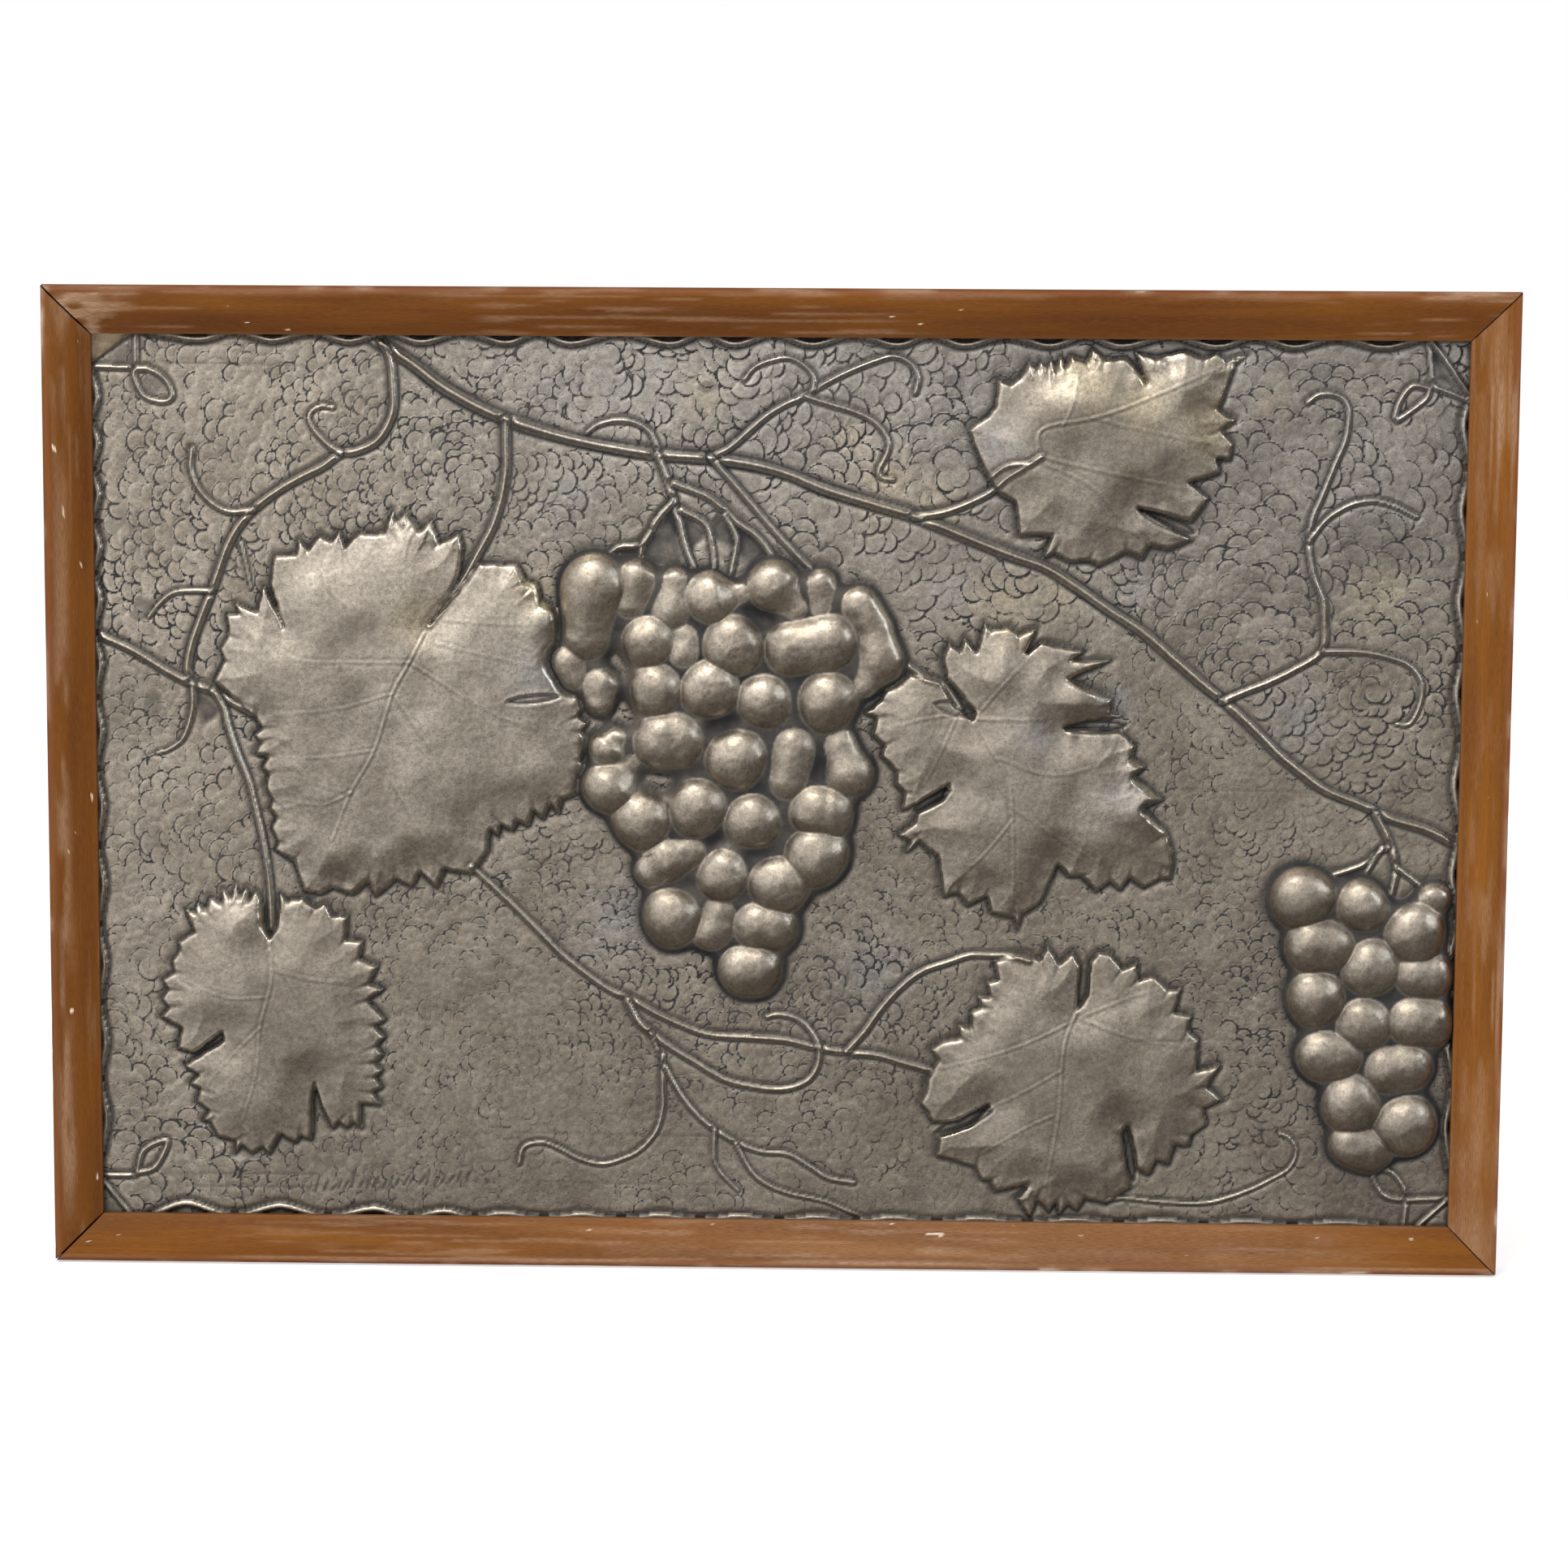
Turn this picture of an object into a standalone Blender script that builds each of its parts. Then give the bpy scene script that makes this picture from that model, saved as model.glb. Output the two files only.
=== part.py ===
"""Decorative pewter panel: a grapevine in raised pewter sheet on a board, in a mitred wooden frame.

It hangs upright on a wall. The origin is the middle of its back, its front faces -Y and its top +Z.
"""

import math

import bmesh
import bpy
from mathutils import Matrix, Vector

# The frame's opening, in metres
SIGHT_WIDTH = 0.570
SIGHT_HEIGHT = 0.371

# The frame's moulding: depths are measured forward from the wall
RAIL_WIDTH = 0.020
RAIL_DEPTH = 0.020
LIP_FRONT = 0.015
EDGE_ROUND = 0.003
EDGE_STEPS = 3
FACE_CURVE = 1.8
FACE_STEPS = 5
REBATE_WIDTH = 0.009
MITRE_GAPS = {"top_left": 0.0010, "top_right": 0.0003, "bottom_right": 0.0003, "bottom_left": 0.0010}

# The board and the sheet
BOARD_THICKNESS = 0.009
BOARD_CLEARANCE = 0.001
SHEET_THICKNESS = 0.0012
SHEET_UNDER_LIP = 0.006
LAYER_GAP = 0.0003

# How far each form stands out from the sheet, and how wide the ridges are. Round forms have their middle
# just behind the sheet's front. Each ridge lies one crossing step deeper than the one before it, so that
# no two of them cross at the same height.
LEAF_CROWN = 0.0060
LEAF_SPREAD = 1.30
VEIN_RADIUS = 0.0013
VEIN_SINK = 0.0005
BORDER_RADIUS = 0.0017
BORDER_RISE = 0.0015
ROUND_SINK = 0.0002
GRAPE_DEPTH = 0.93
GRAPE_SPREAD = 1.07
FORM_SINK = 0.0006
CROSSING_STEP = 0.00001
WELD_DISTANCE = 0.000001

# The waved border: how far its bends lie inside and outside the opening's edge
WAVE_LENGTH = 0.0325
WAVE_INSIDE = 0.0038
WAVE_OUTSIDE = 0.0012
WAVE_STEPS = 4
CORNER_ROOM = 0.017

ROUTE_STEP = 0.012
DOME_SEGMENTS = 12
DOME_RINGS = 10
GRAPE_SEGMENTS = 9
GRAPE_RINGS = 6

# Places on the relief below are in millimetres from the panel's centre, on an opening of this size
DESIGN_WIDTH = 570.0
DESIGN_HEIGHT = 371.0

# The sheet's top left corner is cut off along the line through these two places
CUT_CORNER = ((-285, 174), (-268, 187.5))

# A leaf's margin runs anticlockwise. Each corner is x, z, then the teeth up to the next corner, their depth
LEAVES = {
    "large_leaf": [
        (-131, 97, 0, 0), (-132.5, 103.5, 1, 6), (-144, 109.5, 1, 4), (-155, 112, 1, 5),
        (-160.5, 113, 1, 6), (-174.5, 103.5, 1, 7), (-182.5, 104, 2, 4), (-199.5, 100.5, 1, 5),
        (-210, 94, 0, 0), (-212, 82, 0, 0), (-206, 64, 0, 0), (-214.5, 81.5, 1, 6),
        (-226.5, 73.5, 1, 3), (-230, 69, 2, 2.5), (-236, 41, 0, 0), (-219, 27, 2, 3),
        (-219, 10.5, 1, 4), (-215.5, 5, 4, 2.5), (-211, -30, 1, 2.5), (-201, -40, 0, 0),
        (-199, -47.5, 0, 0), (-192, -48.5, 1, 3.5), (-178, -48.5, 1, 4.5), (-168.5, -49.5, 1, 4.5),
        (-153, -45.5, 1, 7), (-142.5, -45.5, 1, 7), (-128, -39.5, 0, 0), (-121, -30, 0, 0),
        (-120, -20.5, 0, 0), (-116.5, -23.5, 4, 4), (-91, -13.5, 1, 4), (-82, -4.5, 1, 4),
        (-78, 5, 1, 4), (-78.5, 17, 2, 3), (-79, 33, 0, 0), (-90, 35, 0, 0),
        (-109, 31.5, 0, 0), (-111, 35, 0, 0), (-90, 38, 0, 0), (-81, 40, 1, 2),
        (-82, 54, 1, 2), (-88, 71, 1, 3), (-100, 83, 1, 3), (-108, 91, 0, 0),
        (-125, 91.5, 0, 0), (-134, 78, 0, 0), (-145, 67, 0, 0),
    ],
    "lower_left_leaf": [
        (-216.5, -51, 0, 0), (-219, -48, 2, 3), (-227.5, -45, 4, 4), (-249.5, -55, 0, 0),
        (-245, -65, 0, 0), (-252.5, -69, 1, 2), (-255, -77.5, 1, 3), (-259, -85.5, 2, 3.5),
        (-260, -101.5, 0, 0), (-251, -106, 0, 0), (-253, -115, 0, 0), (-246, -117, 0, 0),
        (-234, -108, 0, 0), (-233.5, -111, 0, 0), (-250, -122, 3, 3.5), (-243, -146, 1, 3),
        (-236.5, -152.5, 1, 5), (-229, -160.5, 2, 4), (-214.5, -160, 1, 6), (-203, -155, 1, 3),
        (-196.5, -154, 0, 0), (-194.5, -129, 0, 0), (-192, -140, 0, 0), (-187, -149, 2, 3),
        (-175, -148.5, 0, 0), (-175.5, -138, 0, 0), (-167, -138.5, 1, 5), (-166, -131, 4, 4),
        (-164.5, -102, 1, 6), (-165, -89, 1, 7), (-167.5, -79, 2, 6), (-180, -57.5, 1, 4),
        (-190, -52, 2, 2.5), (-209, -48.5, 0, 0), (-210, -62, 0, 0), (-213, -67, 0, 0),
        (-216, -62, 0, 0),
    ],
    "upper_right_leaf": [
        (79, 148, 0, 0), (86, 130, 0, 0), (92, 122, 0, 0), (99, 118, 0, 0), (100, 104, 0, 0),
        (114, 104.5, 0, 0), (110.5, 95, 2, 2), (134, 92, 1, 4), (152, 95, 1, 4), (163, 99, 0, 0),
        (172.5, 103, 0, 0), (149.5, 116, 0, 0), (172, 110, 0, 0), (179, 120.5, 0, 0),
        (170.5, 127, 0, 0), (183.5, 130.5, 1, 4), (187.5, 136, 0, 0), (188.5, 143, 1, 5),
        (189, 152.5, 1, 6), (185.5, 165, 1, 2), (194, 179.5, 2, 2.5), (168, 181, 1, 2),
        (147.5, 180, 0, 0), (152, 168, 0, 0), (144, 178, 1, 3), (130, 181.5, 1, 4),
        (121, 179, 4, 4.5), (104, 176.5, 0, 0), (100, 169.5, 1, 2), (91, 168.5, 0, 0),
        (90, 158, 1, 1),
    ],
    "middle_right_leaf": [
        (82, 28, 0, 0), (75, 33, 0, 0), (68, 43.5, 0, 0), (56, 46, 0, 0), (46, 42, 1, 2),
        (37, 30, 2, 3), (44, 12, 1, 3), (50, 0, 1, 2.5), (53, -11, 0, 0), (60, -8, 0, 0),
        (72.5, 0, 0, 0), (70, -5.5, 0, 0), (59, -11.5, 1, 2), (51.5, -21, 1, 3), (55, -28.5, 1, 4),
        (68, -30, 0, 0), (71, -47, 1, 4), (81, -51, 1, 5), (91, -54, 1, 3), (102, -61.5, 1, 3),
        (112, -49, 0, 0), (118.5, -33.5, 0, 0), (123, -38, 1, 3), (135, -44.5, 2, 4.5),
        (155, -42.5, 1, 2), (166, -39, 0, 0), (167, -28, 0, 0), (164, -19, 0, 0),
        (154, -9, 0, 0), (162.5, -5.5, 0, 0), (150, 4, 0, 0), (154.5, 8, 1, 3), (150.5, 17, 0, 0),
        (144, 23, 0, 0), (121, 24.5, 0, 0), (130, 28, 0, 0), (145, 29, 1, 4), (140.5, 37, 0, 0),
        (122, 45, 0, 0), (139.5, 52.5, 0, 0), (123.5, 53, 0, 0), (129, 56.5, 0, 0),
        (110, 60, 0, 0), (104.5, 56, 0, 0), (108.5, 66, 1, 3), (97, 66.5, 1, 2), (86.5, 68, 0, 0),
        (83.5, 56, 0, 0), (78.5, 61.5, 1, 5), (72, 59, 0, 0), (69.5, 53, 0, 0), (71, 45, 0, 0),
        (82.5, 31, 0, 0),
    ],
    "lower_right_leaf": [
        (127.5, -94, 0, 0), (129, -76, 0, 0), (125.5, -70.5, 1, 4.5), (115, -68, 1, 4.5),
        (105, -70.5, 0, 0), (92, -74, 0, 0), (94, -82, 0, 0), (89, -83, 2, 4.5),
        (82.5, -96, 1, 4), (77.5, -101.5, 1, 5), (70.5, -108.8, 0, 0), (66, -112, 1, 3.5),
        (64.5, -125, 1, 1), (62, -135, 0, 0), (67.5, -143.5, 0, 0), (78, -143, 0, 0),
        (90.5, -136, 0, 0), (84, -144, 0, 0), (70, -149.5, 0, 0), (69, -158, 0, 0),
        (76, -160, 1, 3), (88, -168, 1, 2), (94, -173.5, 0, 0), (107.5, -170, 0, 0),
        (103, -176, 0, 0), (109, -184.5, 1, 6), (117, -182, 1, 5), (121.5, -182.5, 1, 4),
        (129, -181, 1, 4), (141, -177.5, 0, 0), (151.5, -171, 0, 0), (147.3, -148, 0, 0),
        (149.5, -144, 0, 0), (153.5, -163, 0, 0), (159, -165, 1, 3), (167, -160.5, 1, 4),
        (176, -153, 1, 3), (183, -143.5, 1, 6), (190, -133, 1, 5), (188, -118, 1, 7),
        (179, -107, 1, 4), (176, -96.7, 1, 6), (171.5, -85, 1, 4), (159.5, -79.5, 1, 5),
        (152, -75, 1, 5), (141, -71, 0, 0), (136, -70, 0, 0), (132.5, -74, 0, 0),
        (131.5, -88, 0, 0),
    ],
}

# Main veins of each leaf, as x, z places
VEINS = {
    "large_leaf": [
        [(-145, 66), (-153, 50), (-160, 37), (-168, 13), (-178, -5), (-186, -25)],
        [(-153, 50), (-176, 50), (-200, 53), (-215, 61)],
        [(-153, 50), (-130, 36), (-104, 24)],
        [(-160, 37), (-185, 30), (-209, 28)],
        [(-160, 37), (-148, 20), (-133, 1)],
        [(-168, 13), (-190, 9.5), (-209, 10)],
        [(-168, 13), (-157, -8), (-144, -31)],
        [(-142, 62), (-125, 66), (-105, 66)],
        [(-190, 88), (-185, 78), (-176, 72)],
    ],
    "lower_left_leaf": [
        [(-213, -68), (-214, -92), (-219, -120), (-226, -147)],
        [(-213, -72), (-201, -92), (-188, -111)],
        [(-214, -92), (-232, -92), (-250, -85)],
    ],
    "upper_right_leaf": [
        [(108, 135), (109, 150), (130, 153), (152, 161), (190, 178)],
        [(109, 135), (124, 130), (139, 114), (150, 102)],
        [(122, 140), (150, 129), (175, 122)],
        [(130, 153), (152, 149), (175, 145)],
    ],
    "middle_right_leaf": [
        [(83, 27), (92, 12), (98, -10), (101, -55)],
        [(84, 29), (100, 28.5), (116, 28)],
        [(72, 25), (67, 8), (60, -3)],
        [(90, 16), (115, 5), (138, 9)],
    ],
    "lower_right_leaf": [
        [(127, -96), (121, -120), (119, -140), (115, -170)],
        [(124, -100), (100, -112), (70, -124)],
        [(131, -98), (152, -106), (176, -112)],
        [(128, -100), (142, -124), (152, -138)],
        [(118, -139), (104, -150), (88, -162)],
    ],
}

# Grapes, as x, z and the half width and half height of each
GRAPES = [
    (-75.5, 79.5, 13.5, 12), (-57, 83, 8, 12), (-43, 77, 7, 12), (-25, 79, 12, 11), (1, 81, 11, 11),
    (19, 81, 6, 8), (36, 77, 9.5, 9), (44, 53, 9, 14), (-78, 61, 9, 14), (-53, 59, 10.5, 10.5),
    (-37, 58, 7, 9), (-17, 59, 12.5, 12), (8, 57, 11, 12), (22, 58, 12, 12), (-73, 40, 7, 11),
    (-47, 38, 12, 12), (-27, 39, 12, 13), (-3, 33, 12, 11), (21, 33, 13, 12), (-45, 17, 15, 12),
    (-70, 17, 8.5, 8), (-15, 10, 12.5, 12.5), (8, 11, 9.5, 13), (29, 11, 9, 13), (-68, -3, 11, 12),
    (-57, -19, 12, 11), (-31, -10, 11, 11), (-8, -17, 11, 12), (21, -11, 13, 11), (18, -31, 13.5, 12),
    (-43, -34, 14, 11), (-21, -40, 10, 10.5), (5, -43, 13.5, 12), (-41, -57, 10, 13),
    (-25, -63, 8.5, 11.5), (-4, -61, 13, 11), (-9, -81, 13, 10.5),
    (222, -46, 12, 12), (246, -50, 11, 11), (268, -61, 12, 11.5), (277, -46, 6.5, 5.5),
    (229, -66, 13, 11.5), (250, -75, 11, 11.5), (272.5, -78, 11, 9.5), (230, -89, 10.5, 11),
    (250, -100, 10.5, 11), (272, -99, 11.5, 10), (235, -114, 11.5, 10), (263, -119, 11.5, 9.5),
    (244, -133, 12, 10.5), (267, -144, 12, 12), (249, -153, 12.5, 9),
]

# Stalks and tendrils: their half width, then the x, z places they pass
STALKS = [
    (2.0, [(-172, 184), (-152, 174), (-128, 158), (-100, 147), (-70, 140), (-28, 135.5), (5, 129),
           (40, 117), (75, 105), (112, 91), (138, 74), (165, 54), (188, 35), (210, 14), (230, -1),
           (258, -13), (282, -23)]),
    (1.5, [(-161, 175), (-160, 157), (-168, 141), (-182, 136.5), (-210, 120), (-225, 106), (-234, 86),
           (-241, 68), (-246, 42)]),
    (1.0, [(-182, 137), (-192, 145), (-194, 154), (-185, 155.5)]),
    (1.2, [(-219, 113), (-235, 115), (-243, 124), (-244, 138)]),
    (1.0, [(-237, 79), (-253, 78), (-263, 68)]),
    (1.5, [(-282, 60), (-262, 49), (-240, 38.5), (-220, 28)]),
    (1.5, [(-236, 37), (-228, 14), (-219, -12), (-214, -38), (-212.7, -63)]),
    (1.0, [(-245, 40), (-246, 24), (-260, 11)]),
    (1.5, [(-113, 151), (-113, 130), (-119, 106), (-130, 86), (-145, 66)]),
    (1.0, [(-50, 139), (-54, 147), (-67, 151), (-79, 146)]),
    (1.3, [(-28, 136), (-12, 147), (10, 161), (40, 176), (55, 175), (57, 164)]),
    (1.0, [(14, 163), (12, 173), (-3, 176), (-14, 168)]),
    (1.0, [(14, 161), (40, 151), (46, 140), (42, 131), (48, 127)]),
    (1.4, [(57, 111), (78, 117), (95, 126), (108, 135)]),
    (1.3, [(-50, 137), (-41, 110), (-33, 89)]),
    (1.2, [(-43, 118), (-56, 100), (-67, 95), (-74, 90)]),
    (1.3, [(-43, 124), (-18, 110), (0, 92)]),
    (1.0, [(-38, 113), (-28, 99), (-26, 90)]),
    (1.2, [(-28, 135), (-5, 110), (14, 90)]),
    (1.3, [(187, 36), (215, 49), (228, 64), (222, 92), (223, 115), (235, 145), (230, 163), (219, 160)]),
    (1.0, [(221, 104), (238, 118), (265, 113)]),
    (1.0, [(227, 57), (254, 55), (268, 42), (260, 27)]),
    (1.4, [(251, -11), (258, -26), (258, -42)]),
    (1.1, [(255, -26), (246, -33), (232, -37)]),
    (1.1, [(259, -33), (266, -38), (272, -42)]),
    (1.4, [(-127, -37), (-99, -64), (-61, -93), (-33, -105), (5, -109), (43, -115), (63, -121)]),
    (1.4, [(-60, -94), (-43, -113), (-21, -126), (3, -130), (19, -121), (16, -107), (-2, -99)]),
    (1.4, [(31, -113), (45, -95), (62, -79), (82, -72), (104, -73)]),
    (1.1, [(-47, -114), (-48, -137), (-57, -157), (-73, -163), (-98, -154), (-108, -163)]),
    (1.1, [(-40, -117), (-38, -135), (-14, -154), (6, -158), (34, -170)]),
    (1.0, [(-25, -149), (-22, -167), (-15, -174)]),
    (1.0, [(-14, -155), (-3, -171), (21, -178), (36, -182)]),
    (1.1, [(146, -174), (184, -177), (210, -167), (220, -155), (214, -148)]),
    (1.5, [(52, 52), (62, 45), (70, 42), (77, 32)]),
]

# Strokes of the small corner ornaments, all of one half width
CORNER_STROKE_RADIUS = 0.9
CORNER_STROKES = [
    [(-266, 182), (-266, 173)], [(-282, 171), (-270, 171)],
    [(-266, 171), (-254, 166), (-253, 158), (-264, 160), (-268, 168)],
    [(268, 182), (270, 170)], [(270, 167), (282, 163)],
    [(269, 168), (257, 162), (256, 153), (262, 157), (268, 164)],
    [(-282, -170), (-272, -170)], [(-282, -174), (-275, -183)],
    [(-271, -169), (-268, -159), (-258, -155), (-262, -166)],
    [(268, -176), (267, -183)], [(270, -175), (282, -174)],
    [(266, -172), (262, -163), (254, -163), (258, -173)],
]

# Sizes that follow from the ones above
OUTER_WIDTH = SIGHT_WIDTH + 2 * RAIL_WIDTH
OUTER_HEIGHT = SIGHT_HEIGHT + 2 * RAIL_WIDTH
BOARD_WIDTH = SIGHT_WIDTH + 2 * (REBATE_WIDTH - BOARD_CLEARANCE)
BOARD_HEIGHT = SIGHT_HEIGHT + 2 * (REBATE_WIDTH - BOARD_CLEARANCE)
SHEET_BACK = BOARD_THICKNESS + LAYER_GAP
SHEET_FRONT = SHEET_BACK + SHEET_THICKNESS
LIP_BACK = SHEET_FRONT + BORDER_RISE + LAYER_GAP
SCALE_X = SIGHT_WIDTH / DESIGN_WIDTH
SCALE_Z = SIGHT_HEIGHT / DESIGN_HEIGHT


def clear_scene():
    for obj in list(bpy.data.objects):
        bpy.data.objects.remove(obj, do_unlink=True)


def make_collection(name, helpers=False):
    collection = bpy.data.collections.new(name)
    bpy.context.scene.collection.children.link(collection)
    collection.hide_render = helpers
    return collection


def make_material(name, color, roughness, metallic=0.0):
    material = bpy.data.materials.new(name)
    material.use_nodes = True
    shader = material.node_tree.nodes["Principled BSDF"]
    shader.inputs["Base Color"].default_value = (*color, 1.0)
    shader.inputs["Roughness"].default_value = roughness
    shader.inputs["Metallic"].default_value = metallic
    return material


def place(x, z):
    """A place of the relief's drawing, in metres on this panel."""
    return x * SCALE_X, z * SCALE_Z


def add_object(name, mesh, collection, helper=False):
    obj = bpy.data.objects.new(name, mesh)
    collection.objects.link(obj)
    if helper:
        obj.hide_render = True
        obj.display_type = "WIRE"
    return obj


def cut_off(mesh, place_on_plane, outward):
    """Cuts off what lies beyond a plane, and closes the cut."""
    work = bmesh.new()
    work.from_mesh(mesh)
    everything = work.verts[:] + work.edges[:] + work.faces[:]
    bmesh.ops.bisect_plane(work, geom=everything, plane_co=place_on_plane, plane_no=outward, clear_outer=True)
    bmesh.ops.holes_fill(work, edges=work.edges)
    bmesh.ops.recalc_face_normals(work, faces=work.faces)
    work.to_mesh(mesh)
    work.free()


def add_form(name, mesh, forms):
    """A raised form, cut flat just behind the sheet's front so that it can be joined to the sheet."""
    cut_off(mesh, (0, -(SHEET_FRONT - FORM_SINK), 0), (0, 1, 0))
    return add_object(name, mesh, forms, helper=True)


def mesh_from_curve(curve):
    """The closed mesh of a curve whose caps are welded on. The curve is removed."""
    guide = bpy.data.objects.new(curve.name, curve)
    bpy.context.scene.collection.objects.link(guide)
    graph = bpy.context.evaluated_depsgraph_get()
    mesh = bpy.data.meshes.new_from_object(guide.evaluated_get(graph))
    bpy.data.objects.remove(guide, do_unlink=True)
    work = bmesh.new()
    work.from_mesh(mesh)
    bmesh.ops.remove_doubles(work, verts=work.verts, dist=WELD_DISTANCE)
    bmesh.ops.recalc_face_normals(work, faces=work.faces)
    work.to_mesh(mesh)
    work.free()
    return mesh


def extruded_outline(name, outline, depth):
    """A flat outline of x, y points made into a solid that is centred on its own plane."""
    curve = bpy.data.curves.new(name, "CURVE")
    curve.dimensions = "2D"
    curve.fill_mode = "BOTH"
    curve.extrude = depth / 2
    spline = curve.splines.new("POLY")
    spline.points.add(len(outline) - 1)
    for point, (x, y) in zip(spline.points, outline):
        point.co = (x, y, 0, 1)
    spline.use_cyclic_u = True
    return mesh_from_curve(curve)


def ridge(name, points, radius, forms):
    """A ridge along 3-D points, closed at both ends."""
    curve = bpy.data.curves.new(name, "CURVE")
    curve.dimensions = "3D"
    curve.bevel_depth = radius
    curve.bevel_resolution = 0
    curve.use_fill_caps = True
    spline = curve.splines.new("POLY")
    spline.points.add(len(points) - 1)
    for point, place_of_point in zip(spline.points, points):
        point.co = (*place_of_point, 1)
    return add_form(name, mesh_from_curve(curve), forms)


def smooth_route(corners, step):
    """Points along a smooth curve through the corners, about one step apart."""
    path = [Vector(corner) for corner in corners]
    path = [2 * path[0] - path[1], *path, 2 * path[-1] - path[-2]]
    points = []
    for before, start, end, after in zip(path, path[1:], path[2:], path[3:]):
        spans = max(1, round((end - start).length / step))
        for index in range(spans):
            t = index / spans
            points.append(
                0.5 * (2 * start + (end - before) * t
                       + (2 * before - 5 * start + 4 * end - after) * t**2
                       + (3 * start - before - 3 * end + after) * t**3)
            )
    points.append(path[-2])
    return points


def rail_profile():
    """The moulding's section, as distance in from the outer edge and depth forward from the wall."""
    section = [(0, 0), (0, RAIL_DEPTH - EDGE_ROUND)]
    for step in range(1, EDGE_STEPS + 1):
        angle = math.pi / 2 * step / EDGE_STEPS
        section.append((
            EDGE_ROUND * (1 - math.cos(angle)),
            RAIL_DEPTH - EDGE_ROUND * (1 - math.sin(angle)),
        ))
    face_width = RAIL_WIDTH - EDGE_ROUND
    for step in range(1, FACE_STEPS + 1):
        share = step / FACE_STEPS
        drop = (RAIL_DEPTH - LIP_FRONT) * share**FACE_CURVE
        section.append((EDGE_ROUND + face_width * share, RAIL_DEPTH - drop))
    section += [(RAIL_WIDTH, LIP_BACK), (RAIL_WIDTH - REBATE_WIDTH, LIP_BACK), (RAIL_WIDTH - REBATE_WIDTH, 0)]
    return section


def make_rail(name, length, reach, turn, corners, collection, material):
    """A rail built as the bottom one, then turned about Y. The corners are at its -X and +X ends."""
    mesh = extruded_outline(name, rail_profile(), length)
    for vertex in mesh.vertices:
        inward, depth, along = vertex.co
        side = 1 if along > 0 else -1
        gap = MITRE_GAPS[corners[0 if side < 0 else 1]]
        vertex.co = (side * (length / 2 - inward - gap / math.sqrt(2)), -depth, inward - reach)
    mesh.transform(Matrix.Rotation(turn, 4, "Y"))
    work = bmesh.new()
    work.from_mesh(mesh)
    bmesh.ops.recalc_face_normals(work, faces=work.faces)
    work.to_mesh(mesh)
    work.free()
    mesh.materials.append(material)
    return add_object(name, mesh, collection)


def box_mesh(name, width, height, back, front):
    """A box that is centred across the panel and runs from one depth off the wall to another."""
    mesh = bpy.data.meshes.new(name)
    work = bmesh.new()
    bmesh.ops.create_cube(work, size=1)
    bmesh.ops.scale(work, vec=(width, front - back, height), verts=work.verts)
    bmesh.ops.translate(work, vec=(0, -(front + back) / 2, 0), verts=work.verts)
    work.to_mesh(mesh)
    work.free()
    return mesh


def make_board(collection, material):
    mesh = box_mesh("backing_board", BOARD_WIDTH, BOARD_HEIGHT, 0, BOARD_THICKNESS)
    mesh.materials.append(material)
    return add_object("backing_board", mesh, collection)


def toothed_outline(corners):
    """A leaf's margin: straight runs between the corners, with their teeth cut in."""
    outline = []
    for (x, z, teeth, depth), (end_x, end_z, *_) in zip(corners, corners[1:] + corners[:1]):
        run = Vector((end_x - x, end_z - z))
        inward = Vector((-run.y, run.x)).normalized() * depth
        outline.append((x, z))
        for tooth in range(teeth):
            if tooth:
                tip = Vector((x, z)) + run * (tooth / teeth)
                outline.append(tuple(tip))
            notch = Vector((x, z)) + run * ((tooth + 0.5) / teeth) + inward
            outline.append(tuple(notch))
    return [place(*point) for point in outline]


def dome_of(outline):
    """Centre and half widths of the flat dome that gives a leaf its crown."""
    xs = [x for x, _ in outline]
    zs = [z for _, z in outline]
    centre = Vector(((max(xs) + min(xs)) / 2, (max(zs) + min(zs)) / 2))
    return centre, LEAF_SPREAD * (max(xs) - min(xs)) / 2, LEAF_SPREAD * (max(zs) - min(zs)) / 2


def dome_rise(dome, x, z):
    """How far a dome stands out from the sheet at a place."""
    centre, half_width, half_height = dome
    share = ((x - centre.x) / half_width) ** 2 + ((z - centre.y) / half_height) ** 2
    return LEAF_CROWN * math.sqrt(max(0.0, 1 - share))


def squashed_ball(name, centre, radii, segments, rings):
    """The mesh of a ball of the three half widths, with its poles to the front and the back."""
    mesh = bpy.data.meshes.new(name)
    work = bmesh.new()
    bmesh.ops.create_uvsphere(work, u_segments=segments, v_segments=rings, radius=1)
    bmesh.ops.rotate(work, matrix=Matrix.Rotation(math.pi / 2, 3, "X"), verts=work.verts)
    bmesh.ops.scale(work, vec=radii, verts=work.verts)
    bmesh.ops.translate(work, vec=centre, verts=work.verts)
    work.to_mesh(mesh)
    work.free()
    return mesh


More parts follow.
